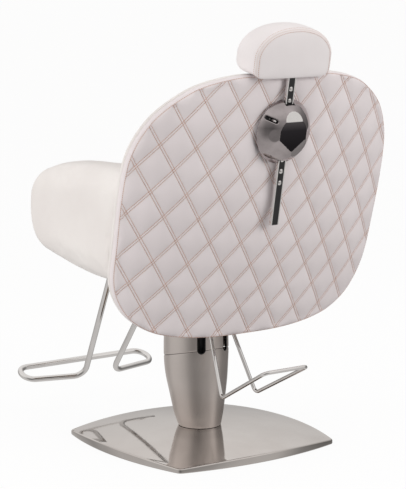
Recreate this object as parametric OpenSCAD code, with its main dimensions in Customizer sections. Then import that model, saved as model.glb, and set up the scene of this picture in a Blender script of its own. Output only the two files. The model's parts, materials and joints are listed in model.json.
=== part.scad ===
// Threading chair: a hydraulic salon chair with a reclining quilted back and a sliding headrest.
// Millimetres. The origin is on the floor under the middle of the base. +Z is up and -Y is the
// direction the sitter faces, so +X is the sitter's left and +Y is behind the back.

/* [Base] */
// Side of the square base, from corner to corner
base_side = 500; // [470:5:540]
// How far each side of the base bows outwards
base_bow = 36; // [20:1:45]
// Height of the base rim at its corners
base_rim = 11; // [9:0.5:14]
// Rise of the base from its corners to its middle
base_crown = 29; // [26:0.5:32]
// Thickness of the polished base sheet
base_sheet = 1.5; // [1:0.1:2]
// Thickness of the rubber underlay
underlay_t = 2; // [1.5:0.1:3]
// Diameter of the four base bolts
base_bolt_d = 8; // [6:1:10]

/* [Column] */
// Height of the column's top above the floor
column_top = 345; // [338:1:346]
// Widest diameter of the column
column_d = 172; // [168:1:180]
// How far the column's upper part stands in front of its foot
column_shift = 20; // [14:1:24]
// Wall of the column's two covers
column_wall = 3; // [2:0.25:4]
// Height of the seam between the covers, at the column's axis
seam_z = 236; // [230:1:242]
// Rise of the seam towards the rear, in degrees
seam_tilt = 12; // [6:1:14]
// Width of the two pedal slots
slot_w = 23; // [21:0.5:26]
// Height of the slots' lower end
slot_low = 243; // [238:1:260]
// Height of the slots' upper end
slot_high = 334; // [332:0.5:336]
// Angle of each slot from the rear, in degrees
slot_angle = 27; // [25:0.5:29]

/* [Pump] */
// Outer diameter of the pump cylinder
pump_d = 54; // [50:1:56]
// Wall of the pump cylinder
pump_wall = 5; // [4:0.5:6]
// Diameter of the lifting ram
ram_d = 38; // [34:1:40]
// Height of the ram's top with the seat down
ram_top = 395; // [393:1:397]

/* [Pedal] */
// Diameter of the pedal rod
pedal_rod = 10; // [8:0.5:11]
// Height of the pedal shaft
pedal_z = 306; // [302:1:308]
// Distance from the pump axis back to the pedal shaft
pedal_back = 36; // [35.5:0.25:36.5]
// Diameter of the pedal shaft
pedal_shaft_d = 12; // [10:0.5:12]
// Height of the lowest bend of the pedal
pedal_low = 149; // [140:1:165]
// Height of the foot bar
pedal_bar_z = 252; // [240:1:262]
// How far the foot bar lies behind the origin
pedal_reach = 361; // [340:1:375]
// Half of the foot bar's length
pedal_bar_half = 69; // [60:1:80]

/* [Seat] */
// Width of the seat cushion
seat_w = 524; // [500:2:530]
// Front of the seat, ahead of the origin
seat_front = 296; // [280:2:310]
// Rear of the seat cushion, behind the origin
seat_rear = 148; // [135:1:152]
// Height of the cushion's underside
seat_low = 493; // [491:1:496]
// Thickness of the seat cushion at its rim
seat_t = 72; // [60:1:80]
// Extra height of the seat cushion's crown
seat_crown = 14; // [8:1:20]
// Thickness of the plywood seat board
board_t = 15; // [12:1:16]
// Width and height of the seat frame's square tubes
rail = 30; // [25:1:32]
// Half of the distance between the side rails' middles
rail_x = 190; // [180:1:195]

/* [Arms] */
// Gap between the seat cushion and an arm
arm_gap = 14; // [12:0.5:18]
// Thickness of an arm
arm_t = 122; // [110:1:128]
// Height of an arm's underside at its front
arm_low = 491; // [488:1:505]
// Height of an arm's top at its rear
arm_high = 768; // [755:1:785]
// Front of an arm, ahead of the origin
arm_front = 236; // [215:1:245]
// Rear of an arm before it meets the back, behind the origin
arm_rear = 290; // [280:1:300]

/* [Footrest] */
// Diameter of the footrest tube
foot_tube = 16; // [14:1:18]
// Half of the distance between the two legs at their lowest bend
foot_leg_x = 48; // [44:1:52]
// Half of the distance between the legs at their sockets
foot_socket_x = 88; // [84:1:96]
// Height of the legs' lowest bend
foot_low = 90; // [84:1:115]
// How far the lowest bend lies ahead of the origin
foot_fwd = 489; // [470:1:500]
// Half of the footrest's width
foot_half = 214; // [200:1:230]
// Height of the front bar
foot_bar_z = 114; // [108:1:140]
// How far the front bar lies ahead of the origin
foot_bar_fwd = 586; // [575:1:600]

/* [Back] */
// Lean of the back, in degrees
back_lean = 13; // [12:0.25:13.5]
// Distance of the back's middle behind the origin
back_y = 304; // [302:1:307]
// Height of the back's middle
back_z = 678; // [674:1:681]
// Half of the back's width
back_half = 414; // [404:1:420]
// Height of the back above its middle
back_up = 315; // [305:1:316]
// Height of the back below its middle
back_down = 374; // [360:1:376]
// Forward curve of the back at its sides
back_bow = 66; // [55:1:72]
// Forward curve of the back at its top
back_barrel = 11; // [6:1:14]
// Thickness of the quilted rear panel
panel_t = 20; // [16:1:22]
// Thickness of the moulded plywood shell
shell_t = 12; // [10:0.5:13]
// Thickness of the padded front lining
lining_t = 12; // [10:0.5:14]
// Width of one quilted diamond
diamond_w = 94; // [80:1:110]
// Height of one quilted diamond
diamond_h = 119; // [100:1:130]
// Turn of the quilting on the panel, in degrees
quilt_turn = 5; // [0:1:8]
// Depth of the sewn channels
quilt_depth = 5; // [3:0.5:7]
// Thickness of the inner back pad
pad_t = 62; // [50:1:66]

/* [Recline] */
// Distance of the recline hinge behind the origin
hinge_y = 165; // [163:1:167]
// Height of the recline hinge
hinge_z = 480; // [479:0.5:481]
// How far the back reclines, in degrees
recline_angle = 35; // [30:1:36]
// Diameter of the hinge pins
hinge_pin_d = 12; // [10:0.5:13]
// Distance of the gas spring's axis below the hinge
spring_drop = 50; // [48:0.5:52]
// Diameter of the gas spring's cylinder
spring_d = 22; // [20:1:23]
// Diameter of the gas spring's rod
spring_rod_d = 10; // [8:1:11]

/* [Headrest] */
// Lean of the headrest bar, in degrees
bar_lean = 10.2; // [9:0.1:11]
// Width of the headrest bar
bar_w = 24; // [20:1:25]
// Thickness of the headrest bar
bar_t = 8; // [6:0.5:8]
// Length of the bar below the middle of its housing
bar_down = 239; // [220:1:245]
// Pitch of the bar's studs
stud_pitch = 29.8; // [28:0.1:31]
// Width of the headrest
headrest_w = 244; // [220:1:248]
// Depth of the headrest from front to rear
headrest_depth = 115; // [90:1:122]
// Height of the headrest
headrest_h = 130; // [125:1:150]
// Diameter of the housing at its foot
dome_d = 166; // [150:1:170]
// Height of the housing's dome above the panel
dome_h = 50.5; // [46:0.5:54]
// Wall of the housing
dome_wall = 4; // [3:0.5:5]

/* [Hidden] */

$fn = 64;
// Clearance of a running fit, in radius
run = 0.05;
// Gap between a part and its neighbour
seat_gap = 0.3;
// Gap beside a part that moves past another
free_gap = 1.5;
// Overrun of every cut
over = 1;
// Steel plate used for brackets
plate_t = 6;
// Corner rounding of brackets
bracket_r = 8;

// Colours
white_vinyl = [0.93, 0.91, 0.89];
polished = [0.82, 0.82, 0.84];
satin = [0.66, 0.64, 0.62];
black = [0.07, 0.07, 0.08];
steel = [0.5, 0.51, 0.53];
bronze = [0.72, 0.52, 0.28];
plywood = [0.78, 0.62, 0.42];

// Values of the base
base_half = base_side / 2;
base_arc = (base_half * base_half + base_bow * base_bow) / (2 * base_bow);
base_corner = base_half * sqrt(2);
base_top = base_rim + base_crown;
crown_r = (base_corner * base_corner + base_crown * base_crown) / (2 * base_crown);
core_gap = 0.3;
core_boss_d = 130;
core_boss_gap = 1.8;
core_boss_top = base_top - base_sheet - core_boss_gap;
flange_t = 8;
flange_d = 92;
bolt_circle = 74;
bolt_head_h = 5;
bolt_head_ratio_share = 1.6;

// Values of the column
pump_y = 0;
column_foot = base_top + seat_gap;
slot_liner_wall = 2;
slot_liner_sunk = 0.6;
slot_liner_deep = 5;
collar_cap = 4;
gland_h = 4;
collar_hole = pump_d + 2 * free_gap;
// Height and diameter of the column as shares of its top and its widest diameter
column_shape_share = [
    [0, 0.66], [0.05, 0.71], [0.11, 0.765], [0.22, 0.834], [0.325, 0.896], [0.43, 0.953],
    [0.535, 0.985], [0.64, 1], [0.76, 0.996], [1, 0.972]
];
// Share of the column's shift reached at each height
column_shift_share = [0.2, 0.34, 0.46, 0.6, 0.74, 0.9, 1, 1, 1, 1];
column_sides = 48;

// Values of the pump and pedal
bore_d = pump_d - 2 * pump_wall;
piston_h = 24;
ram_bottom = 60;
shaft_y = pump_y + pedal_back;
shaft_half = 46;
lug_in = 12;
lug_t = 9;
bush_wall = 2;
bush_d = pedal_shaft_d + 2 * bush_wall;
plunger_d = 8;
plunger_arm = 13;
barrel_d = 18;
cam_d = 7;
barrel_low = 210;
barrel_top = 280;
cam_gap = 1;
cam_collar = 3;
plunger_rest = 8;
plunger_head_t = 4;
plunger_head_z = pedal_z - cam_d - cam_gap;
pedal_side = 38;
hub_d = 19;
hub_t = 12;
pedal_knee_back = 50;
pedal_knee_rise = 7;
pedal_knee_y = shaft_y + pedal_knee_back;
pedal_knee_z = pedal_z + pedal_knee_rise;
pedal_toe_in = 3;
rod_start = 1;
pedal_bend_y = 166;
pedal_bend_x = 55;
pedal_bend_r = 14;

// Values of the swivel and the seat
head_d = 76;
head_gap = 5;
head_rim = 7;
plate_bolt_depth = 10;
head_low = column_top + head_gap;
washer_t = 3;
head_roof = 6;
head_top = ram_top + washer_t + head_roof;
swivel_plate_w = 200;
plate_top = head_top + plate_t;
plate_bolt_circle = 58;
rail_top = seat_low - board_t;
rail_low = rail_top - rail;
beam_x = 60;
beam_w = 16;
beam_back = 10;
rail_wall = 2;
rail_inset = 46;
rail_short = 39;
rail_front = rail_inset - seat_front;
rail_rear = hinge_y - rail_short;
strap_y = -70;
strap_w = 40;
board_inset = 12;
board_corner = 30;
lever_tab_w = 16;
lever_tab_drop = 34;
lever_tab_ahead = 42;
cushion_draw = 6;

// Values of the arm brackets
arm_bracket_w = 44;
arm_bracket_t = 4;
arm_bracket_up = 84;
arm_bracket_z = rail_top - arm_bracket_t;
arm_bracket_places = [22, 70];
arm_screw_low = 30;
arm_screw_drop = 12;
arm_screw_places = [arm_screw_low, arm_bracket_up - arm_screw_drop];
arm_screw_head = 3;
arm_in = seat_w / 2 + arm_gap;
arm_out = arm_in + arm_t;

// Values of the footrest
socket_wall = 4;
socket_set_back = 6;
socket_front = rail_front + socket_set_back;
socket_len = 110;
socket_web = 26;
socket_gap = 2;
socket_z = rail_low - foot_tube / 2 - socket_wall - socket_gap;
foot_screw_head = 4;
foot_bend_r = 34;
foot_end_short = 14;
foot_end_y = socket_front + socket_len - foot_end_short;
foot_knee_y = -282;
foot_run_fwd = 38;
foot_run_rise = 2;

// Values of the back
total_t = panel_t + shell_t + lining_t;
bow_square_share = 0.73;
barrel_rate = back_barrel / (back_up * back_up);
shell_inset = 7;
bracket_seat = 1;
// A line that all the layers share, inside their edges
layer_line = 11;
shell_edge = 2;
lining_rear_edge = 1;
lining_edge = 7;
strip_edge = 3;
strip_cut_edge = 0.1;
panel_edge = 13;
slab_deep = 160;
slab_margin = 30;
pad_gap = 1;
pad_top_drop = 26;
pad_soft = 12;
// A crossing of the quilting's channels, from the middle of the back
quilt_x = 22;
quilt_z = -60;
pad_half = 262;
pad_low = -150;

// Values of the recline hinge and the gas spring
hinge_seat_x = rail_x + rail / 2;
hinge_disc = 31;
half_swing = recline_angle / 2;
spring_z = hinge_z - spring_drop;
spring_pin_y = hinge_y + spring_drop * tan(half_swing);
spring_pin_d = 8;
hinge_gap = 1;
hinge_plate_drop = 18;
hinge_plate_l = 80;
hinge_plate_h = 110;
pin_in = 4;
pin_out = 6;
anchor_half = 12;
anchor_t = 8;
rod_inside = 34;
spring_neck = 18;
spring_floor = 30;
eye_gap = 1;
spring_pin_end = 2;
lug_rim = 2;
lug_low = 12;
lug_len = 60;
lug_high = 52;
spring_len = 112;
spring_travel = 2 * spring_drop * tan(half_swing);
eye_d = 20;
spring_rod_end = strap_y;
lug_ear_in = 9;
lug_ear_t = 5;
lug_slot_play = 0.4;
lug_slot_run = 2.6;

// Values of the headrest and its housing
bar_face = 11.5;
bar_up = 186;
housing_back = 37;
housing_up = 171;
housing_y = back_y + housing_back;
housing_z = back_z + housing_up;
cap_r = (dome_d * dome_d / 4 + dome_h * dome_h) / (2 * dome_h);
dome_flat_drop = 10;
dome_flat = dome_h - dome_flat_drop;
// Bevels round the housing's flat: direction round it, distance from its middle and slope
dome_bevels = [[0, 41, 34], [180, 41, 34], [90, 33, 22], [-52, 34, 30], [-128, 34, 30]];
slot_x = 56;
slot_z = 37;
slot_run = 8;
screw_circle = 62;
stud_d = 12.4;
stud_h = 3;
studs = 9;
stud_first = 108.6;
strip_rim = 3;
strip_w = bar_w - 2 * strip_rim;
stud_pin_d = 3;
stud_pin_in = 1;
stud_r = 8;
stud_room = 3;
bar_play = 2;
tab_slot_w = 10;
housing_screw_d = 5;
housing_screw_head_h = 3;
housing_screw_head_d = 9;
guide_half = 30;
guide_play = 1;
tab_l = 6;
tab_h = 20;
tab_w = 4;
tab_foot = 7;
tab_out = 1;
runner_back = 18;
runner_more = 8;
runner_gap = 0.1;
runner_t = 4;
runner_w = 6;
lock_tail = 10;
lock_flange = 5;
lock_flange_rim = 1;
head_plate_half = 50;
head_plate_t = 3;
head_plate_low = 16;
head_plate_h = 70;
bar_pocket_low = 20;
head_low_z = 133;
head_rear = 16;
head_soft = 24;
head_lift = 26;
head_low_share = 0.36;
head_round_top = 2.2;
head_round_low = 8;
head_low_draw_share = 0.15;
strip_h = 1.2;
guide_wall = 4;
backplate_t = 3;
backplate_d = 152;
pocket_t = 6;
plunger_pin_d = 6;
tab_tilt = 22;
lock_z = 6;

// A point of the back's rear surface, in the back's own frame: X across, Y outwards, Z up
function sheet_y(x, z) =
    -back_bow * (bow_square_share * pow(x / back_half, 2) + (1 - bow_square_share) * pow(x / back_half, 4))
    - barrel_rate * z * z;

// Right half of the back's outline, from the middle of its top round to the middle of its bottom, as shares
// of its half width and of its height above or below its middle
back_outline_share = [
    [0, 1], [0.169, 1.002], [0.314, 1], [0.42, 0.981], [0.51, 0.956], [0.587, 0.924], [0.652, 0.886],
    [0.749, 0.803], [0.821, 0.724], [0.877, 0.641], [0.937, 0.505], [0.976, 0.362], [0.993, 0.206], [0.998, 0.019],
    [0.998, -0.08], [0.99, -0.294], [0.986, -0.481], [0.976, -0.567], [0.961, -0.626], [0.937, -0.69],
    [0.901, -0.754], [0.86, -0.81], [0.812, -0.856], [0.732, -0.906], [0.635, -0.947], [0.464, -0.981],
    [0.251, -0.999], [0, -1]
];
back_outline_half = [for (s = back_outline_share) [s[0] * back_half, s[1] * (s[1] > 0 ? back_up : back_down)]];
back_last = len(back_outline_half) - 1;
back_outline = concat(
    [for (i = [0 : back_last]) back_outline_half[back_last - i]],
    [for (i = [1 : back_last - 1]) [-back_outline_half[i][0], back_outline_half[i][1]]]
);

// The back's outline drawn in by a distance
function back_edge(inset) =
    let (n = len(back_outline))
    [for (i = [0 : n - 1])
        let (t = unit(back_outline[(i + 1) % n] - back_outline[(i + n - 1) % n]))
        back_outline[i] + inset * [-t[1], t[0]]];

function mix(a, b, t) = a + (b - a) * t;

// Faces of a closed skin made of equal rings with a point at each end. From the ring that turn names on, each
// face is split along its other diagonal
function ring_faces(rings, sides, turn = 0) = concat(
    [for (i = [0 : rings - 2], j = [0 : sides - 1], k = [0, 1])
        let (a = i * sides + j, b = i * sides + (j + 1) % sides, same = turn == 0 || i < turn)
        k == 0 ? [a, a + sides, same ? b + sides : b] : [same ? a : a + sides, b + sides, b]],
    [for (j = [0 : sides - 1]) [rings * sides, j, (j + 1) % sides]],
    [for (j = [0 : sides - 1])
        [rings * sides + 1, (rings - 1) * sides + (j + 1) % sides, (rings - 1) * sides + j]]
);

// A body whose faces follow the back's curve, from depth y_rear to y_front, with soft edges
module back_layer(y_rear, y_front, inset, edge_rear, edge_front, line = layer_line) {
    sides = len(back_outline);
    shares = [0.2, 0.4, 0.58, 0.75, 0.87, 0.94];
    // Each ring is a share of the outline, a depth and how far it draws in from the edge. The inner rings
    // leave the inset out, so that they lie behind each other in every layer
    rings = concat(
        [for (k = shares) [k, y_rear, 0]],
        [
            [1, y_rear, max(line - inset, edge_rear + over)],
            [1, y_rear, edge_rear], [1, y_rear - edge_rear * 0.3, edge_rear * 0.3], [1, y_rear - edge_rear, 0],
            [1, y_front + edge_front, 0], [1, y_front, edge_front],
            [1, y_front, max(line - inset, edge_front + over)]
        ],
        [for (i = [len(shares) - 1 : -1 : 0]) [shares[i], y_front, 0]]
    );
    pts = concat(
        [for (r = rings, e = back_edge(r[0] < 1 ? 0 : inset + r[2]))
            let (x = e[0] * r[0], z = e[1] * r[0])
            [x, sheet_y(x, z) + r[1], z]],
        [[0, y_rear, 0], [0, y_front, 0]]
    );
    // The front face is split as the rear one is, so that neighbouring layers have the same shape
    polyhedron(pts, ring_faces(len(rings), sides, len(shares) + 4));
}

module in_back() translate([0, back_y, back_z]) rotate([-back_lean, 0, 0]) children();

module in_housing() translate([0, housing_y, housing_z]) rotate([-bar_lean, 0, 0]) children();

module at_pump() translate([0, pump_y, 0]) children();

// Both sides of the chair, as a mirrored pair
module pair() {
    children();
    mirror([1, 0, 0]) children();
}

// A cylinder along X, from x1 to x2
module rod_x(x1, x2, d) translate([x1, 0, 0]) rotate([0, 90, 0]) cylinder(h = x2 - x1, d = d);

// A cylinder along Y, from y1 to y2
module rod_y(y1, y2, d) translate([0, y1, 0]) rotate([-90, 0, 0]) cylinder(h = y2 - y1, d = d);

function unit(v) = v / norm(v);

// Points along straight stretches with round bends
function bent_path(p, bend, steps) = concat(
    [p[0]],
    [for (i = [1 : len(p) - 2], k = [0 : steps])
        let (
            u = unit(p[i] - p[i - 1]),
            v = unit(p[i + 1] - p[i]),
            turn = acos(u * v),
            side = unit(v - u * (u * v)),
            centre = p[i] - u * bend * tan(turn / 2) + side * bend,
            t = turn * k / steps
        )
        centre - side * bend * cos(t) + u * bend * sin(t)],
    [p[len(p) - 1]]
);

// Direction across the path at each of its points, turned as little as it can be
function path_sides(q, t, first) = [
    for (i = 0, n = first; i < len(q); i = i + 1, n = i < len(q) ? unit(n - t[i] * (n * t[i])) : n) n
];

// A tube along straight stretches with round bends, as one solid
module bent_tube(p, bend, d, sides = 14, steps = 5) {
    q = bent_path(p, bend, steps);
    n = len(q);
    t = [for (i = [0 : n - 1]) unit((i < n - 1 ? unit(q[i + 1] - q[i]) : [0, 0, 0]) + (i > 0 ? unit(q[i] - q[i - 1]) : [0, 0, 0]))];
    a = path_sides(q, t, unit(cross(t[0], [0, 0, 1])));
    pts = concat(
        [for (i = [0 : n - 1], j = [0 : sides - 1])
            let (b = cross(t[i], a[i]), w = 360 * j / sides)
            q[i] + (a[i] * cos(w) + b * sin(w)) * d / 2],
        [q[0], q[n - 1]]
    );
    polyhedron(pts, ring_faces(n, sides));
}

// A box with round upright corners, centred across
module round_box(w, l, h, r) linear_extrude(h) offset(r) square([w - 2 * r, l - 2 * r], center = true);

// A square tube along Y
module tube_y(x, y1, y2, z, w, h, wall) {
    translate([x, y1, z]) rotate([-90, 0, 0]) linear_extrude(y2 - y1) difference() {
        translate([-w / 2, -h]) square([w, h]);
        translate([-w / 2 + wall, -h + wall]) square([w - 2 * wall, h - 2 * wall]);
    }
}

// Base

module base_outline(inset) {
    r = base_arc - inset;
    c = base_arc - base_half - base_bow;
    intersection() {
        translate([0, -c]) circle(r, $fn = 256);
        translate([0, c]) circle(r, $fn = 256);
        translate([-c, 0]) circle(r, $fn = 256);
        translate([c, 0]) circle(r, $fn = 256);
    }
}

module base_body(inset, low, drop) {
    intersection() {
        translate([0, 0, low]) linear_extrude(base_top) base_outline(inset);
        translate([0, 0, base_top - drop - crown_r]) sphere(crown_r, $fn = 256);
    }
}

module bolt_places() at_pump() for (i = [0 : 3]) rotate(45 + 90 * i) translate([bolt_circle / 2, 0, 0]) children();

module base_cover() color(polished) difference() {
    base_body(0, 0, 0);
    difference() {
        base_body(base_sheet, -over, base_sheet);
        // The sheet is folded in under the rim
        translate([0, 0, -over]) linear_extrude(over + base_sheet) difference() {
            base_outline(0);
            base_outline(base_sheet * 3);
        }
    }
    bolt_places() cylinder(h = 2 * base_top, d = base_bolt_d + 2 * run);
}

module base_core() color(steel) difference() {
    union() {
        translate([0, 0, underlay_t]) linear_extrude(base_rim - base_sheet - core_gap - underlay_t)
            base_outline(base_sheet * 3 + core_gap);
        translate([0, pump_y, underlay_t]) cylinder(h = core_boss_top - underlay_t, d = core_boss_d);
    }
    bolt_places() {
        cylinder(h = 2 * base_top, d = base_bolt_d + 2 * run);
        cylinder(h = underlay_t + bolt_head_h + seat_gap, d = base_bolt_d * bolt_head_ratio_share + 1);
    }
}

module floor_underlay() color(black)
    linear_extrude(underlay_t) base_outline(base_sheet * 3 + core_gap);

module base_bolts() color(steel) bolt_places() {
    translate([0, 0, underlay_t]) cylinder(h = bolt_head_h, d = base_bolt_d * bolt_head_ratio_share, $fn = 6);
    translate([0, 0, underlay_t]) cylinder(h = base_top + flange_t - underlay_t - over, d = base_bolt_d);
}

// Column

function column_at(k) =
    let (s = column_shape_share[k])
    [mix(column_foot, column_top, s[0]), s[1] * column_d / 2, -column_shift * column_shift_share[k]];

module column_loft(inset, low_cap, high_cap) {
    n = len(column_shape_share);
    rings = [for (k = [0 : n - 1])
        let (c = column_at(k))
        [k == 0 ? c[0] - low_cap : k == n - 1 ? c[0] + high_cap : c[0], c[1] - inset, c[2]]];
    pts = concat(
        [for (r = rings, j = [0 : column_sides - 1])
            let (a = 360 * j / column_sides)
            [r[1] * cos(a), r[2] + r[1] * sin(a), r[0]]],
        [[0, rings[0][2], rings[0][0]], [0, rings[n - 1][2], rings[n - 1][0]]]
    );
    polyhedron(pts, ring_faces(n, column_sides));
}

module at_column() translate([0, -column_shift, 0]) children();

module slot_places() at_column() for (a = [-slot_angle, slot_angle]) rotate(a) children();

// A slot through the rear of the column, grown by g
module slot_cut(g, y1, y2) slot_places() translate([0, y1, 0]) rotate([-90, 0, 0])
    linear_extrude(y2 - y1) for (z = [slot_low + slot_w / 2, slot_high - slot_w / 2]) {
        translate([0, -z]) circle(d = slot_w + 2 * g);
        translate([-slot_w / 2 - g, -slot_high + slot_w / 2])
            square([slot_w + 2 * g, slot_high - slot_low - slot_w]);
    }

module above_seam(gap) at_column() translate([0, 0, seam_z]) rotate([seam_tilt, 0, 0])
    translate([-column_d, -column_d, gap]) cube([2 * column_d, 2 * column_d, 2 * column_d]);

module below_seam(gap) at_column() translate([0, 0, seam_z]) rotate([seam_tilt, 0, 0])
    translate([-column_d, -column_d, -2 * column_d - gap]) cube([2 * column_d, 2 * column_d, 2 * column_d]);

slot_deep = column_d * 0.4;

module column_lower_cover() color(satin) difference() {
    column_loft(0, 0, 0);
    column_loft(column_wall, over, over);
    above_seam(-seat_gap / 2);
    slot_cut(0, slot_deep, column_d);
}

module column_upper_collar() color(satin) difference() {
    column_loft(0, 0, 0);
    difference() {
        column_loft(column_wall, over, over);
        translate([-column_d, -column_d, column_top - collar_cap]) cube([2 * column_d, 2 * column_d, 2 * collar_cap]);
    }
    below_seam(-seat_gap / 2);
    slot_cut(0, slot_deep, column_d);
    at_pump() cylinder(h = 2 * column_top, d = collar_hole);
}

module slot_liners() color(black) intersection() {
    difference() {
        slot_cut(-seat_gap / 2, slot_deep, column_d);
        slot_cut(-slot_liner_wall, slot_deep - over, column_d + over);
    }
    difference() {
        column_loft(slot_liner_sunk, 0, 0);
        column_loft(slot_liner_deep, over, over);
    }
}

// Pump

module pump_cylinder() color(steel) difference() {
    union() {
        at_pump() {
            translate([0, 0, base_top]) cylinder(h = flange_t, d = flange_d);
            translate([0, 0, base_top]) cylinder(h = column_top - gland_h - base_top, d = pump_d);
        }
        // Lugs of the pedal shaft
        for (x = [-lug_in - lug_t, lug_in]) translate([x, pump_y, pedal_z - bush_d * 0.8])
            cube([lug_t, pedal_back, bush_d * 1.6]);
        for (x = [-lug_in - lug_t, lug_in]) translate([0, shaft_y, pedal_z]) rod_x(x, x + lug_t, bush_d * 1.6);
        // Barrel of the small pump
        translate([0, shaft_y + plunger_arm, barrel_low]) cylinder(h = barrel_top - barrel_low, d = barrel_d);
        translate([-barrel_d / 2, pump_y, barrel_low]) cube([barrel_d, pedal_back + plunger_arm, barrel_d]);
    }
    at_pump() translate([0, 0, base_top + flange_t]) cylinder(h = column_top, d = bore_d);
    translate([0, shaft_y, pedal_z]) rod_x(-2 * lug_in - lug_t, 2 * lug_in + lug_t, bush_d);
    translate([0, shaft_y + plunger_arm, barrel_low + barrel_d]) cylinder(h = barrel_top, d = plunger_d + 2 * run);
    bolt_places() translate([0, 0, base_top - over]) cylinder(h = flange_t + 2 * over, d = base_bolt_d + 2 * run);
}

module pump_gland() color(bronze) at_pump() translate([0, 0, column_top - gland_h]) difference() {
    cylinder(h = gland_h, d = pump_d);
    translate([0, 0, -over]) cylinder(h = gland_h + 2 * over, d = ram_d + 2 * run);
}

module lift_ram() color(polished) at_pump() {
    translate([0, 0, ram_bottom]) cylinder(h = ram_top - ram_bottom, d = ram_d);
    translate([0, 0, ram_bottom]) cylinder(h = piston_h, d = bore_d - 2 * run);
}

// Pedal

module pedal_bushes() color(bronze) for (x = [-lug_in - lug_t, lug_in]) translate([0, shaft_y, pedal_z]) difference() {
    rod_x(x, x + lug_t, bush_d);
    rod_x(x - over, x + lug_t + over, pedal_shaft_d + 2 * run);
}

module pump_plunger() color(polished) translate([0, shaft_y + plunger_arm, 0]) {
    translate([0, 0, barrel_low + barrel_d + plunger_rest])
        cylinder(h = plunger_head_z - barrel_low - barrel_d - plunger_rest - plunger_head_t, d = plunger_d);
    translate([0, 0, plunger_head_z - plunger_head_t]) cylinder(h = plunger_head_t, d = plunger_d + plunger_head_t);
}

module pedal_shaft() color(steel) translate([0, shaft_y, pedal_z]) {
    rod_x(-shaft_half, shaft_half, pedal_shaft_d);
    // The cam that presses the plunger
    rod_x(-lug_in + seat_gap, lug_in - seat_gap, pedal_shaft_d + cam_collar);
    translate([-plunger_d / 2, 0, -cam_d]) cube([plunger_d, plunger_arm, cam_d]);
    translate([0, plunger_arm, -cam_d / 2 - cam_gap + seat_gap]) rod_x(-plunger_d / 2, plunger_d / 2, cam_d);
}

module pedal_hubs() color(steel) pair() translate([0, shaft_y, pedal_z]) difference() {
    rod_x(pedal_side - hub_t / 2, pedal_side + hub_t / 2, hub_d);
    rod_x(0, 2 * pedal_side, pedal_shaft_d);
    translate([pedal_side, 0, 0]) rod_y(pedal_shaft_d / 2, hub_d, pedal_rod + 2 * run);
}

module pedal_loop() color(polished) {
    half = [
        [pedal_side, shaft_y + pedal_shaft_d / 2 + rod_start, pedal_z],
        [pedal_side - pedal_toe_in, pedal_knee_y, pedal_knee_z],
        [pedal_bend_x, pedal_bend_y, pedal_low],
        [pedal_bar_half, pedal_reach, pedal_bar_z]
    ];
    other = [for (i = [len(half) - 1 : -1 : 0]) [-half[i][0], half[i][1], half[i][2]]];
    bent_tube(concat(half, other), pedal_bend_r, pedal_rod);
}

// Swivel and seat frame

module swivel_head() color(steel) at_pump() difference() {
    union() {
        translate([0, 0, head_low]) cylinder(h = head_top - head_low, d = head_d);
        translate([0, 0, head_top - head_roof]) cylinder(h = head_roof, d = head_d + 2 * head_rim);
    }
    translate([0, 0, head_low - over]) cylinder(h = ram_top + washer_t + run - head_low + over, d = ram_d + 2 * run);
    for (i = [0 : 3]) rotate(45 + 90 * i) translate([plate_bolt_circle / 2, 0, ram_top - plate_bolt_depth])
        cylinder(h = head_top, d = base_bolt_d);
}

module thrust_washer() color(bronze) at_pump() translate([0, 0, ram_top]) cylinder(h = washer_t, d = ram_d - 2);

module swivel_plate() color(steel) at_pump() difference() {
    translate([0, 0, head_top]) round_box(swivel_plate_w, swivel_plate_w, plate_t, bracket_r);
    for (i = [0 : 3]) rotate(45 + 90 * i) translate([plate_bolt_circle / 2, 0, head_top - over])
        cylinder(h = plate_t + 2 * over, d = base_bolt_d + 2 * run);
}

module swivel_plate_bolts() color(steel) at_pump() for (i = [0 : 3]) rotate(45 + 90 * i)
    translate([plate_bolt_circle / 2, 0, 0]) {
        translate([0, 0, plate_top]) cylinder(h = bolt_head_h, d = base_bolt_d * bolt_head_ratio_share, $fn = 6);
        translate([0, 0, ram_top - plate_bolt_depth + over])
            cylinder(h = plate_top - ram_top + plate_bolt_depth - over, d = base_bolt_d);
    }

module seat_beams() color(steel) pair()
    translate([beam_x - beam_w / 2, pump_y - swivel_plate_w / 2 + beam_back, plate_top])
        cube([beam_w, swivel_plate_w, rail_low - plate_top]);

module seat_frame() color(steel) difference() {
    union() {
        pair() tube_y(rail_x, rail_front, rail_rear, rail_low, rail, rail, rail_wall);
        for (y = [rail_front, rail_rear - rail]) translate([-rail_x + rail / 2, y, rail_low])
            cube([2 * rail_x - rail, rail, rail]);
        translate([-rail_x + rail / 2, strap_y - strap_w / 2, rail_low]) cube([2 * rail_x - rail, strap_w, plate_t]);
        // Tab that carries the release lever's outer end
        translate([-rail_x - plate_t / 2, strap_y - lever_tab_ahead, rail_low - lever_tab_drop])
            cube([plate_t, lever_tab_w, lever_tab_drop]);
    }
    translate([-rail_x, lever_y, lever_z]) rod_x(-rail, rail, lever_d + 2 * run);
    for (y = [rail_front, rail_rear - rail]) translate([-rail_x + rail / 2 - over, y + rail_wall, rail_low + rail_wall])
        cube([2 * rail_x - rail + 2 * over, rail - 2 * rail_wall, rail - 2 * rail_wall]);
}

module seat_board() color(plywood)
    translate([0, (seat_rear - seat_front) / 2, rail_top])
        round_box(seat_w - 2 * board_inset, seat_rear + seat_front - 2 * board_inset, board_t, board_corner);

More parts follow.
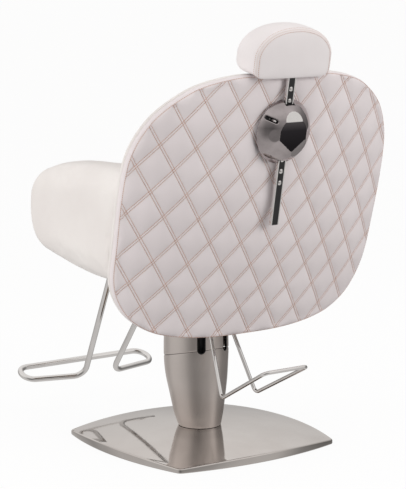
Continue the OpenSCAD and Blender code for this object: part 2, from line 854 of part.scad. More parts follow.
// A cushion with a crown, drawn-in sides and round corners, on a flat underside
module cushion(w, l, h, crown, draw, sides = 48) {
    // Each ring is a share of the outline, a height and a draw-in
    rings = [
        [0.5, 0, 0], [0.94, 0, 0], [1, h * 0.14, draw], [1, h * 0.45, 0], [1, h * 0.8, draw * 0.5],
        [0.96, h * 0.98, draw], [0.75, h + crown * 0.62, 0], [0.4, h + crown * 0.93, 0]
    ];
    pts = concat(
        [for (r = rings, j = [0 : sides - 1])
            let (
                a = 360 * j / sides,
                c = cos(a),
                s = sin(a),
                p = 6,
                k = pow(pow(abs(c) / (w / 2 - r[2]), p) + pow(abs(s) / (l / 2 - r[2]), p), -1 / p)
            )
            [k * c * r[0], k * s * r[0], r[1]]],
        [[0, 0, 0], [0, 0, h + crown]]
    );
    polyhedron(pts, ring_faces(len(rings), sides));
}

module seat_cushion() color(white_vinyl)
    translate([0, (seat_rear - seat_front) / 2, seat_low])
        cushion(seat_w, seat_rear + seat_front, seat_t, seat_crown, cushion_draw);

// Arms

// Side outline of an arm, from its front round the top to its rear and back along its underside: shares of
// its reach to the front or the rear, and of its height
arm_outline_share = [
    [-1, 0.549], [-0.983, 0.679], [-0.915, 0.791], [-0.788, 0.881], [-0.61, 0.924], [-0.508, 0.946],
    [-0.254, 0.971], [0, 0.989], [0.241, 1], [0.483, 1.004], [0.724, 1], [1, 1], [1, 0.538], [1, -0.094],
    [0.724, -0.065], [0.431, -0.036], [0.207, -0.014], [0, 0.007], [-0.254, 0.032], [-0.508, 0.065],
    [-0.72, 0.101], [-0.856, 0.17], [-0.953, 0.289], [-0.996, 0.426]
];
arm_outline = [for (s = arm_outline_share) [s[0] * (s[0] < 0 ? arm_front : arm_rear), mix(arm_low, arm_high, s[1])]];
arm_middle = [arm_rear * 0.07, mix(arm_low, arm_high, 0.54)];
// How far an arm's outline draws in at its outer face
arm_soft = 36;

// The outline drawn in by a distance, with its points moved to a share of the way from the arm's middle
function arm_ring(draw, size) =
    let (n = len(arm_outline))
    [for (i = [0 : n - 1])
        let (
            before = arm_outline[(i + n - 1) % n],
            after = arm_outline[(i + 1) % n],
            t = unit(after - before),
            q = arm_outline[i] + draw * [t[1], -t[0]]
        )
        arm_middle + (q - arm_middle) * size];

module arm_form() {
    sides = len(arm_outline);
    // Each ring is a share of the outline, a share of the arm's thickness and a share of the draw-in
    rings = [
        [0.5, 0, 0.28], [1, 0, 0.28], [1, 0.05, 0.08], [1, 0.16, 0], [1, 0.4, 0], [1, 0.6, 0.06], [1, 0.76, 0.22],
        [1, 0.89, 0.53], [1, 0.97, 0.94], [0.8, 1, 1]
    ];
    pts = concat(
        [for (r = rings, q = arm_ring(r[2] * arm_soft, r[0])) [arm_in + arm_t * r[1], q[0], q[1]]],
        [[arm_in, arm_middle[0], arm_middle[1]], [arm_out, arm_middle[0], arm_middle[1]]]
    );
    // The outline runs the other way round from a ring's points, so its faces are turned over
    polyhedron(pts, [for (f = ring_faces(len(rings), sides)) [f[2], f[1], f[0]]]);
}

module left_arm() color(white_vinyl) difference() {
    arm_form();
    // The rear end follows the front of the back with a gap
    in_back() translate([0, -total_t - free_gap, 0]) back_slab(0, slab_deep);
}

module right_arm() mirror([1, 0, 0]) left_arm();

// A block behind the back's curve, from its surface outwards
module back_slab(y1, y2) {
    n = 10;
    m = 6;
    w = back_half + slab_margin;
    h = back_down + slab_margin;
    pts = [for (side = [0, 1], i = [0 : n], j = [0 : m])
        let (x = mix(-w, w, i / n), z = mix(-h, h, j / m), q = sheet_y(x, z))
        [x, side == 0 ? q + y1 : q + y2, z]];
    s = (n + 1) * (m + 1);
    f = function(i, j) i * (m + 1) + j;
    polyhedron(pts, concat(
        [for (i = [0 : n - 1], j = [0 : m - 1]) [f(i, j), f(i, j + 1), f(i + 1, j + 1)]],
        [for (i = [0 : n - 1], j = [0 : m - 1]) [f(i, j), f(i + 1, j + 1), f(i + 1, j)]],
        [for (i = [0 : n - 1], j = [0 : m - 1]) [s + f(i, j), s + f(i + 1, j + 1), s + f(i, j + 1)]],
        [for (i = [0 : n - 1], j = [0 : m - 1]) [s + f(i, j), s + f(i + 1, j), s + f(i + 1, j + 1)]],
        [for (i = [0 : n - 1], e = [0, m]) let (a = f(i, e), b = f(i + 1, e))
            e == 0 ? [a, b, s + b] : [a, s + b, b]],
        [for (i = [0 : n - 1], e = [0, m]) let (a = f(i, e), b = f(i + 1, e))
            e == 0 ? [a, s + b, s + a] : [a, s + a, s + b]],
        [for (j = [0 : m - 1], e = [0, n]) let (a = f(e, j), b = f(e, j + 1))
            e == 0 ? [a, s + b, b] : [a, b, s + b]],
        [for (j = [0 : m - 1], e = [0, n]) let (a = f(e, j), b = f(e, j + 1))
            e == 0 ? [a, s + a, s + b] : [a, s + b, s + a]]
    ));
}

module left_arm_bracket() color(steel) for (y = arm_bracket_places) difference() {
    union() {
        translate([hinge_seat_x, y - arm_bracket_w / 2, arm_bracket_z])
            cube([arm_in - seat_gap - hinge_seat_x, arm_bracket_w, arm_bracket_t]);
        translate([arm_in - seat_gap - arm_bracket_t, y - arm_bracket_w / 2, arm_bracket_z])
            cube([arm_bracket_t, arm_bracket_w, arm_bracket_up]);
    }
    for (z = arm_screw_places) translate([0, y, arm_bracket_z + z])
        rod_x(arm_in - 2 * arm_bracket_t, arm_in + over, plate_t + 2 * run);
}

module right_arm_bracket() mirror([1, 0, 0]) left_arm_bracket();

module arm_screws() color(steel) pair() for (y = arm_bracket_places, z = arm_screw_places)
    translate([0, y, arm_bracket_z + z]) {
        rod_x(arm_in - seat_gap - arm_bracket_t - arm_screw_head, arm_in - seat_gap - arm_bracket_t, 2 * plate_t);
        rod_x(arm_in - seat_gap - arm_bracket_t, arm_in - seat_gap, plate_t);
    }

// Footrest

module footrest_sockets() color(steel) pair() translate([foot_socket_x, 0, socket_z]) difference() {
    union() {
        rod_y(socket_front, socket_front + socket_len, foot_tube + 2 * socket_wall);
        translate([-plate_t / 2, socket_front, 0]) cube([plate_t, socket_web, rail_low - socket_z]);
    }
    rod_y(socket_front - over, socket_front + socket_len + over, foot_tube + 2 * run);
    translate([0, socket_front + socket_len / 2, 0]) mirror([0, 0, 1]) cylinder(h = foot_tube, d = plate_t);
}

module footrest_screws() color(steel) pair()
    translate([foot_socket_x, socket_front + socket_len / 2, socket_z]) mirror([0, 0, 1]) {
        translate([0, 0, foot_tube / 2 + run]) cylinder(h = socket_wall, d = plate_t);
        translate([0, 0, foot_tube / 2 + socket_wall + run]) cylinder(h = foot_screw_head, d = 2 * plate_t);
    }

module footrest_tube() color(polished) {
    half = [
        [foot_socket_x, foot_end_y, socket_z],
        [foot_socket_x, foot_knee_y, socket_z],
        [foot_leg_x, -foot_fwd, foot_low],
        [foot_half, -foot_fwd - foot_run_fwd, foot_low + foot_run_rise],
        [foot_half, -foot_bar_fwd, foot_bar_z]
    ];
    other = [for (i = [len(half) - 1 : -1 : 0]) [-half[i][0], half[i][1], half[i][2]]];
    bent_tube(concat(half, other), foot_bend_r, foot_tube);
}

// Recline hinge

module seat_hinge_plates() color(steel) pair() difference() {
    union() {
        translate([hinge_seat_x, rail_rear - rail, hinge_z - hinge_plate_drop])
            cube([plate_t, hinge_y - rail_rear + rail, rail_top - hinge_z + hinge_plate_drop]);
        translate([0, hinge_y, hinge_z]) rod_x(hinge_seat_x, hinge_seat_x + plate_t, hinge_disc);
    }
    translate([0, hinge_y, hinge_z]) rod_x(0, back_half, hinge_pin_d + 2 * run);
}

module hinge_pins() color(polished) pair() translate([0, hinge_y, hinge_z]) {
    rod_x(hinge_seat_x - pin_in, hinge_seat_x + 2 * plate_t + hinge_gap + seat_gap, hinge_pin_d);
    rod_x(hinge_seat_x + 2 * plate_t + hinge_gap + seat_gap, hinge_seat_x + 2 * plate_t + pin_out, hinge_pin_d * 1.6);
}

hinge_back_x = hinge_seat_x + plate_t + hinge_gap;

module back_hinge_plates() color(steel) pair() difference() {
    union() {
        translate([0, hinge_y, hinge_z]) rod_x(hinge_back_x, hinge_back_x + plate_t, hinge_disc);
        difference() {
            translate([hinge_back_x, hinge_y, hinge_z - hinge_disc / 2]) cube([plate_t, hinge_plate_l, hinge_plate_h]);
            in_back() translate([0, -panel_t - shell_t - bracket_seat, 0]) back_slab(0, slab_deep);
        }
    }
    translate([0, hinge_y, hinge_z]) rod_x(0, back_half, hinge_pin_d + 2 * run);
}

// Gas spring

module spring_anchor() color(steel) difference() {
    translate([-anchor_half, spring_rod_end - anchor_t, spring_z - anchor_half])
        cube([2 * anchor_half, 2 * anchor_t, rail_low - spring_z + anchor_half]);
    translate([0, 0, spring_z]) rod_y(spring_rod_end - 2 * anchor_t, spring_rod_end + 2 * anchor_t, spring_rod_d + 2 * run);
}

module spring_rod() color(polished) translate([0, 0, spring_z]) difference() {
    rod_y(spring_rod_end - anchor_t, spring_pin_y - spring_travel - rod_inside, spring_rod_d);
    // The way of the release pin
    rod_y(spring_rod_end - anchor_t - over, spring_rod_end, pin_d + 2 * run);
}

module spring_cylinder() color(black) difference() {
    union() {
        translate([0, 0, spring_z]) rod_y(spring_pin_y - spring_len, spring_pin_y - spring_neck, spring_d);
        translate([0, 0, spring_z]) rod_y(spring_pin_y - spring_neck - over, spring_pin_y, spring_rod_d);
        translate([0, spring_pin_y, spring_z]) rod_x(-lug_ear_in + eye_gap, lug_ear_in - eye_gap, eye_d);
    }
    translate([0, 0, spring_z]) rod_y(spring_pin_y - spring_len - over, spring_pin_y - spring_floor, spring_rod_d + 2 * run);
    translate([0, spring_pin_y, spring_z]) rod_x(-eye_d, eye_d, spring_pin_d);
}

module spring_pin() color(polished) translate([0, spring_pin_y, spring_z])
    rod_x(-lug_ear_in - lug_ear_t - spring_pin_end, lug_ear_in + lug_ear_t + spring_pin_end, spring_pin_d);

// The slot of the lug points at the hinge, so the pin runs along it as the back turns
module spring_lug() color(steel) difference() {
    for (x = [-lug_ear_in - lug_ear_t, lug_ear_in]) difference() {
        hull() {
            translate([0, spring_pin_y, spring_z]) rod_x(x, x + lug_ear_t, eye_d + 2 * lug_rim);
            translate([x, spring_pin_y, spring_z - lug_low]) cube([lug_ear_t, lug_len, lug_high]);
        }
        in_back() translate([0, -panel_t - shell_t - bracket_seat, 0]) back_slab(0, slab_deep);
    }
    translate([0, hinge_y, hinge_z]) rotate([half_swing, 0, 0]) {
        for (r = [spring_drop / cos(half_swing), spring_drop / cos(half_swing) - lug_slot_run])
            translate([0, 0, -r]) rod_x(-eye_d, eye_d, spring_pin_d + 2 * lug_slot_play);
        translate([-eye_d, -spring_pin_d / 2 - lug_slot_play, -spring_drop / cos(half_swing)])
            cube([2 * eye_d, spring_pin_d + 2 * lug_slot_play, lug_slot_run]);
    }
}

// Release lever of the gas spring

lever_ahead = 34;
lever_below = 8;
lever_y = spring_rod_end - lever_ahead;
lever_z = spring_z - lever_below;
lever_past_rail = 42;
lever_out = rail_x + lever_past_rail;
lever_d = 8;
pin_d = 5;
pin_reach = 22;
pin_front = spring_rod_end - pin_reach;
lever_in = 13;
finger_w = 6;
finger_h = 15;
handle_l = 70;
grip_start = 30;
grip_l = 45;
grip_d = 16;
valve_half = 14;
valve_front = 44;
valve_len = 36;
valve_low = 18;
valve_room_half = 7;
valve_room_len = 27;
valve_room_top = 10;

module release_head() color(black) difference() {
    translate([-valve_half, spring_rod_end - valve_front, spring_z - valve_low])
        cube([2 * valve_half, valve_len, rail_low - spring_z + valve_low]);
    // The room in which the lever's finger swings
    translate([-valve_room_half, spring_rod_end - valve_front - over, spring_z - valve_low - over])
        cube([2 * valve_room_half, valve_room_len, valve_low + over + valve_room_top]);
    translate([0, lever_y, lever_z]) rod_x(-2 * valve_half, 2 * valve_half, lever_d + 2 * run);
    translate([0, 0, spring_z]) rod_y(spring_rod_end - 2 * valve_front, spring_rod_end, pin_d + 2 * run);
}

module release_pin() color(polished) translate([0, 0, spring_z])
    rod_y(pin_front, spring_rod_end - anchor_t - seat_gap, pin_d);

module release_lever() color(polished) translate([0, lever_y, lever_z]) {
    rod_x(-lever_out, lever_in, lever_d);
    // The finger that presses the release pin
    translate([-finger_w / 2, -lever_d / 2, -lever_d / 2])
        cube([finger_w, lever_d / 2 + pin_front - lever_y - seat_gap, finger_h]);
    // The handle at the sitter's right
    translate([-lever_out + lever_d / 2, 0, 0]) rotate([90, 0, 0]) cylinder(h = handle_l, d = lever_d);
}

module lever_grip() color(black) translate([-lever_out + lever_d / 2, lever_y, lever_z])
    rotate([90, 0, 0]) translate([0, 0, grip_start]) difference() {
        cylinder(h = grip_l, d = grip_d);
        translate([0, 0, -over]) cylinder(h = handle_l - grip_start + over, d = lever_d + 2 * run);
    }

// Back

module back_shell() color(plywood) in_back()
    back_layer(-panel_t - seat_gap, -panel_t - shell_t, shell_inset, shell_edge, shell_edge);

module front_lining() color(white_vinyl) in_back()
    back_layer(-panel_t - shell_t - seat_gap, -total_t, shell_inset, lining_rear_edge, lining_edge);

module edge_strip() color(white_vinyl) in_back() difference() {
    back_layer(-panel_t - seat_gap, -panel_t - shell_t, 0, strip_edge, strip_edge, 0);
    back_layer(-panel_t + over, -panel_t - shell_t - over, shell_inset - seat_gap, strip_cut_edge, strip_cut_edge, 0);
}

// The quilted face: a grid along the two stitch directions, low on the channels and high between them
module quilt_slab() {
    n = 14;
    m = 2 * n;
    at = function(i, j)
        let (
            u = (i - n) / 2,
            v = (j - n) / 2,
            x0 = (u - v) * diamond_w / 2,
            z0 = (u + v) * diamond_h / 2,
            x = quilt_x + x0 * cos(quilt_turn) - z0 * sin(quilt_turn),
            z = quilt_z + x0 * sin(quilt_turn) + z0 * cos(quilt_turn),
            low = (i % 2 == 0 || j % 2 == 0) ? quilt_depth : 0
        )
        [x, sheet_y(x, z) - low, z];
    s = (m + 1) * (m + 1);
    f = function(i, j) i * (m + 1) + j;
    front = [for (i = [0 : m], j = [0 : m]) let (q = at(i, j)) [q[0], -panel_t * 2 - back_bow * 3, q[2]]];
    pts = concat([for (i = [0 : m], j = [0 : m]) at(i, j)], front);
    // Each quarter of a diamond is split so that its ridge runs to the middle
    split = function(i, j) (i + j) % 2 == 0;
    quads = [for (i = [0 : m - 1], j = [0 : m - 1]) [f(i, j), f(i + 1, j), f(i + 1, j + 1), f(i, j + 1), split(i, j)]];
    polyhedron(pts, concat(
        [for (q = quads) q[4] ? [q[0], q[1], q[2]] : [q[0], q[1], q[3]]],
        [for (q = quads) q[4] ? [q[0], q[2], q[3]] : [q[1], q[2], q[3]]],
        [for (q = quads) q[4] ? [s + q[0], s + q[2], s + q[1]] : [s + q[0], s + q[3], s + q[1]]],
        [for (q = quads) q[4] ? [s + q[0], s + q[3], s + q[2]] : [s + q[1], s + q[3], s + q[2]]],
        [for (i = [0 : m - 1], k = [0, 1]) let (a = f(i, 0), b = f(i + 1, 0)) k == 0 ? [b, a, s + a] : [b, s + a, s + b]],
        [for (i = [0 : m - 1], k = [0, 1]) let (a = f(i, m), b = f(i + 1, m)) k == 0 ? [a, b, s + b] : [a, s + b, s + a]],
        [for (j = [0 : m - 1], k = [0, 1]) let (a = f(0, j), b = f(0, j + 1)) k == 0 ? [a, b, s + b] : [a, s + b, s + a]],
        [for (j = [0 : m - 1], k = [0, 1]) let (a = f(m, j), b = f(m, j + 1)) k == 0 ? [b, a, s + a] : [b, s + a, s + b]]
    ));
}

module rear_panel() color(white_vinyl) difference() {
    in_back() intersection() {
        back_layer(0, -panel_t, 0, panel_edge, shell_edge);
        quilt_slab();
    }
    // The pocket of the housing's plate
    in_housing() rod_y(-pocket_t, dome_h, backplate_d + 2 * seat_gap);
}

module inner_back_pad() color(white_vinyl) in_back() {
    sides = 48;
    rear = -total_t - seat_gap - pad_gap;
    top = back_up - pad_top_drop;
    mid = (top + pad_low) / 2;
    half = (top - pad_low) / 2;
    // Each ring is a share of the outline, a share of the thickness and a share of the draw-in
    rings = [
        [0.5, 0, 0], [0.9, 0, 0], [1, 0.02, 0.33], [1, 0.4, 0], [1, 0.75, 0.5], [0.97, 0.92, 1], [0.7, 1.04, 0],
        [0.35, 1.1, 0]
    ];
    pts = concat(
        [for (r = rings, j = [0 : sides - 1])
            let (
                a = 360 * j / sides,
                c = cos(a),
                s = sin(a),
                p = 4,
                d = r[2] * pad_soft,
                k = pow(pow(abs(c) / (pad_half - d), p) + pow(abs(s) / (half - d), p), -1 / p),
                x = k * c * r[0],
                z = mid + k * s * r[0]
            )
            [x, sheet_y(x, z) + rear - pad_t * r[1], z]],
        [[0, sheet_y(0, mid) + rear, mid], [0, sheet_y(0, mid) + rear - pad_t * 1.12, mid]]
    );
    polyhedron(pts, ring_faces(len(rings), sides));
}

// Headrest housing

// Removes what lies outside the housing's flat and its bevels, moved in by a wall
module dome_trim(wall) {
    translate([-dome_d, dome_flat - wall, -dome_d]) cube([2 * dome_d, dome_d, 2 * dome_d]);
    for (v = dome_bevels) rotate([0, -v[0], 0]) translate([v[1], dome_flat, 0]) rotate([0, 0, -v[2]])
        translate([-dome_d, -wall, -dome_d]) cube([2 * dome_d, dome_d, 2 * dome_d]);
}

module housing_dome() color(polished) in_housing() difference() {
    intersection() {
        translate([0, dome_h - cap_r, 0]) sphere(cap_r, $fn = 96);
        translate([-dome_d, 0, -dome_d]) cube([2 * dome_d, dome_h, 2 * dome_d]);
    }
    dome_trim(0);
    difference() {
        intersection() {
            translate([0, dome_h - cap_r, 0]) sphere(cap_r - dome_wall, $fn = 96);
            translate([-dome_d, -over, -dome_d]) cube([2 * dome_d, dome_h, 2 * dome_d]);
        }
        dome_trim(dome_wall);
    }
    // The way of the bar and its studs
    translate([-bar_w / 2 - bar_play, -over, -dome_d])
        cube([bar_w + 2 * bar_play, bar_face + stud_h + stud_room + over, 2 * dome_d]);
    // The slanted slot of the release tab
    translate([slot_x, dome_wall, slot_z]) rotate([0, -tab_tilt, 0]) {
        for (x = [-slot_run, slot_run]) translate([x, 0, 0]) rod_y(0, dome_h, tab_slot_w);
        translate([-slot_run, 0, -tab_slot_w / 2]) cube([2 * slot_run, dome_h, tab_slot_w]);
    }
}

module housing_backplate() color(steel) in_housing() difference() {
    rod_y(-pocket_t, backplate_t, backplate_d);
    for (i = [0 : 3]) rotate([0, 45 + 90 * i, 0]) translate([screw_circle, 0, 0]) rod_y(-pocket_t - over, 2 * backplate_t, housing_screw_d + 2 * run);
}

module housing_screws() color(steel) in_housing() for (i = [0 : 3]) rotate([0, 45 + 90 * i, 0]) translate([screw_circle, 0, 0]) {
    rod_y(-pocket_t, backplate_t, housing_screw_d);
    rod_y(backplate_t, backplate_t + housing_screw_head_h, housing_screw_head_d);
}

module bar_guide() color(black) in_housing() difference() {
    translate([-bar_w / 2 - guide_wall, backplate_t, -guide_half])
        cube([bar_w + 2 * guide_wall, bar_face + stud_h + stud_room, 2 * guide_half]);
    translate([-bar_w / 2 - run, bar_face - bar_t - run, -guide_half - over])
        cube([bar_w + 2 * run, bar_t + 2 * run, 2 * guide_half + 2 * over]);
    translate([-strip_w / 2 - guide_play, bar_face - over, -guide_half - over])
        cube([strip_w + 2 * guide_play, stud_h + 2 * guide_play + over, 2 * guide_half + 2 * over]);
    translate([0, bar_face - bar_t / 2, lock_z]) rod_x(0, dome_d / 2, plunger_pin_d + 2 * run);
}

module release_tab() color(polished) in_housing() translate([slot_x, 0, slot_z]) rotate([0, -tab_tilt, 0]) {
    // The tab stands in the slot on a strip that slides inside the housing
    translate([-slot_run - tab_out, tab_foot, -tab_w / 2]) cube([tab_l, tab_h, tab_w]);
    translate([-slot_run - runner_back, backplate_t + runner_gap, -runner_w / 2])
        cube([2 * slot_run + runner_more, runner_t, runner_w]);
}

module lock_plunger() color(steel) in_housing() translate([0, bar_face - bar_t / 2, lock_z]) {
    rod_x(bar_w / 2 + run, bar_w / 2 + guide_wall + lock_tail, plunger_pin_d);
    rod_x(bar_w / 2 + guide_wall + lock_flange, bar_w / 2 + guide_wall + lock_tail, plunger_pin_d + 2 * lock_flange_rim);
}

// Headrest

module headrest_bar() color(polished) in_housing() difference() {
    translate([-bar_w / 2, bar_face - bar_t, -bar_down]) cube([bar_w, bar_t, bar_down + bar_up]);
    // The black strip lies in a groove of the rear face
    translate([-strip_w / 2, bar_face - strip_h, -bar_down - over]) cube([strip_w, strip_h + over, bar_down + bar_up + 2 * over]);
    for (i = [0 : studs - 1]) translate([0, 0, stud_first - stud_pitch * i]) rod_y(0, 2 * bar_face, stud_pin_d);
}

module bar_strip() color(black) in_housing() difference() {
    translate([-strip_w / 2, bar_face - strip_h, -bar_down]) cube([strip_w, strip_h, bar_down + bar_up]);
    for (i = [0 : studs - 1]) translate([0, 0, stud_first - stud_pitch * i]) rod_y(0, 2 * bar_face, stud_pin_d);
}

module bar_studs() color(polished) in_housing() for (i = [0 : studs - 1]) translate([0, 0, stud_first - stud_pitch * i]) {
    rod_y(bar_face - bar_t + stud_pin_in, bar_face, stud_pin_d);
    intersection() {
        translate([0, bar_face + stud_h - stud_r, 0]) sphere(stud_r, $fn = 48);
        rod_y(bar_face, bar_face + stud_h, stud_d);
    }
}

module headrest_plate() color(steel) in_housing()
    translate([-head_plate_half, bar_face - bar_t - head_plate_t, head_low_z + head_plate_low])
        cube([2 * head_plate_half, head_plate_t, head_plate_h]);

module headrest_pad() color(white_vinyl) in_housing() difference() {
    headrest_form();
    // Pockets of the bar and its plate
    translate([-bar_w / 2 - seat_gap, bar_face - bar_t - seat_gap, head_low_z - bar_pocket_low])
        cube([bar_w + 2 * seat_gap, bar_t + 2 * seat_gap, bar_up - head_low_z + bar_pocket_low + seat_gap]);
    translate([-head_plate_half - seat_gap, bar_face - bar_t - head_plate_t - seat_gap, head_low_z + head_plate_low - seat_gap])
        cube([2 * head_plate_half + 2 * seat_gap, head_plate_t + 2 * seat_gap, head_plate_h + 2 * seat_gap]);
}

// Outline of the headrest seen from behind: round above, nearly flat below
function head_edge(a, draw) =
    let (
        c = cos(a),
        s = sin(a),
        w = headrest_w / 2 - draw,
        h = s > 0 ? headrest_h * (1 - head_low_share) - draw : headrest_h * head_low_share - draw * head_low_draw_share,
        p = s > 0 ? head_round_top : head_round_low,
        r = pow(pow(abs(c) / w, p) + pow(abs(s) / h, p), -1 / p)
    )
    [r * c, r * s];

module headrest_form() {
    sides = 40;
    // Each ring is a share of the outline, a share of the depth from the rear, a share of the draw-in and a
    // share of how far the underside is lifted over the top of the back and towards the front
    rings = [
        [0.5, 0, 0.4, 0], [0.88, 0.01, 0.4, 0], [1, 0.04, 0.35, 0.12], [1, 0.12, 0.16, 0.38], [1, 0.3, 0.02, 0.38],
        [1, 0.45, 0, 0.38], [1, 0.57, 0.05, 0.4], [1, 0.7, 0.2, 0.52], [1, 0.82, 0.5, 0.74], [1, 0.92, 1, 0.94],
        [0.8, 0.985, 1, 1], [0.4, 1, 1, 1]
    ];
    low = headrest_h * head_low_share;
    mid = head_low_z + low;
    pts = concat(
        [for (r = rings, j = [0 : sides - 1])
            let (e = head_edge(360 * j / sides, r[2] * head_soft), z = e[1] * r[0])
            [e[0] * r[0], head_rear - headrest_depth * r[1], mid + z + (z < 0 ? r[3] * head_lift * -z / low : 0)]],
        [[0, head_rear, mid], [0, head_rear - headrest_depth, mid]]
    );
    polyhedron(pts, ring_faces(len(rings), sides));
}

base_cover();
base_core();
floor_underlay();
base_bolts();
pump_cylinder();
pump_gland();
column_lower_cover();
column_upper_collar();
slot_liners();
pedal_bushes();
pump_plunger();
pedal_shaft();
pedal_hubs();
pedal_loop();
lift_ram();
swivel_head();
thrust_washer();
swivel_plate();
swivel_plate_bolts();
seat_beams();
seat_frame();
seat_board();
seat_cushion();
left_arm_bracket();
right_arm_bracket();
arm_screws();
left_arm();
right_arm();
footrest_sockets();
footrest_screws();
footrest_tube();
seat_hinge_plates();
hinge_pins();
spring_anchor();
spring_rod();
spring_cylinder();
spring_pin();
release_head();
release_pin();
release_lever();
lever_grip();
back_hinge_plates();
back_shell();
rear_panel();
edge_strip();
front_lining();
inner_back_pad();
spring_lug();
housing_dome();
housing_backplate();
housing_screws();
bar_guide();
release_tab();
lock_plunger();
headrest_bar();
bar_strip();
bar_studs();
headrest_plate();
headrest_pad();
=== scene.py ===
"""The looks of the threading chair: quilted vinyl back, soft arms, chrome tubes and a polished base."""

import json
import math

import bmesh
import bpy
import numpy as np
from mathutils import Matrix, Vector, kdtree


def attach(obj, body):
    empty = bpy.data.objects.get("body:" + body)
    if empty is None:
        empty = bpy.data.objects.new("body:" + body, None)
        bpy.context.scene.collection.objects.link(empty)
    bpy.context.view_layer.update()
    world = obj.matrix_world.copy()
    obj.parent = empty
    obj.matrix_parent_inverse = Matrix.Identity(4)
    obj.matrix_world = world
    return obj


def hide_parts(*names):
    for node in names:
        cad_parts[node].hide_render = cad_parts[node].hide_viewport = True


MM = 0.001
WHITE = (1, 1, 1, 1)
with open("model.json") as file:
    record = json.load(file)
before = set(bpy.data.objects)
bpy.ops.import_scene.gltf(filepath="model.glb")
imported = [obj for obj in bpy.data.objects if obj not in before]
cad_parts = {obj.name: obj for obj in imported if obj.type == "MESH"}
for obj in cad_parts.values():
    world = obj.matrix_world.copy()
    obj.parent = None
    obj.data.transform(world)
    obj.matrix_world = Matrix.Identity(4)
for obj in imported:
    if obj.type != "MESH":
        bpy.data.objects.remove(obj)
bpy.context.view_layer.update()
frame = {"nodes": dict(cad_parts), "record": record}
nodes = frame["nodes"]


# Camera, light and floor


def put_in_scene(name, data):
    item = bpy.data.objects.new(name, data)
    bpy.context.scene.collection.objects.link(item)
    return item


def aimed(name, data, place, target):
    """A camera or lamp at a place, looking at another."""
    item = put_in_scene(name, data)
    item.location = place
    item.rotation_mode = "QUATERNION"
    item.rotation_quaternion = (Vector(target) - Vector(place)).to_track_quat("-Z", "Y")
    return item


def make_camera():
    data = bpy.data.cameras.new("photo_camera")
    data.lens = 146.05
    data.sensor_width = 36
    data.clip_end = 200
    camera = aimed("photo_camera", data, (3.0550, 4.1281, 1.3389), (-0.00507, 0.00376, 0.52315))
    bpy.context.scene.camera = camera


class Graph:
    """Short calls for building a node tree."""

    def __init__(self, tree):
        self.tree = tree

    def add(self, kind, inputs=None, **values):
        node = self.tree.nodes.new(kind)
        for name, value in values.items():
            setattr(node, name, value)
        self.feed(node, inputs or {})
        return node

    def feed(self, node, inputs):
        """Gives each named input of a node its number, or links it to another node's output."""
        for key, value in inputs.items():
            socket = node.inputs[key]
            if isinstance(value, bpy.types.NodeSocket):
                self.tree.links.new(value, socket)
            else:
                socket.default_value = value

    def math(self, operation, *values):
        return self.add("ShaderNodeMath", dict(enumerate(values)), operation=operation).outputs[0]

    def noise(self, place, scale, detail):
        return self.add("ShaderNodeTexNoise", {"Vector": place, "Scale": scale, "Detail": detail}).outputs[0]

    def bump(self, height, strength, distance):
        return self.add("ShaderNodeBump", {"Height": height, "Strength": strength, "Distance": distance}).outputs[0]

    def group(self, tree, inputs):
        """A node group placed with its own values."""
        return self.add("ShaderNodeGroup", inputs, node_tree=tree).outputs[0]

    def mix(self, share, first, second, blend="MIX"):
        inputs = {0: share, 6: first, 7: second}
        return self.add("ShaderNodeMix", inputs, data_type="RGBA", blend_type=blend).outputs[2]

    def ramp(self, value, stops):
        node = self.add("ShaderNodeValToRGB", {0: value})
        line = node.color_ramp
        while len(line.elements) < len(stops):
            line.elements.new(0.5)
        for element, (place, tone) in zip(line.elements, stops):
            element.position = place
            element.color = (tone, tone, tone, 1) if isinstance(tone, float) else (*tone, 1)
        return node.outputs[0]


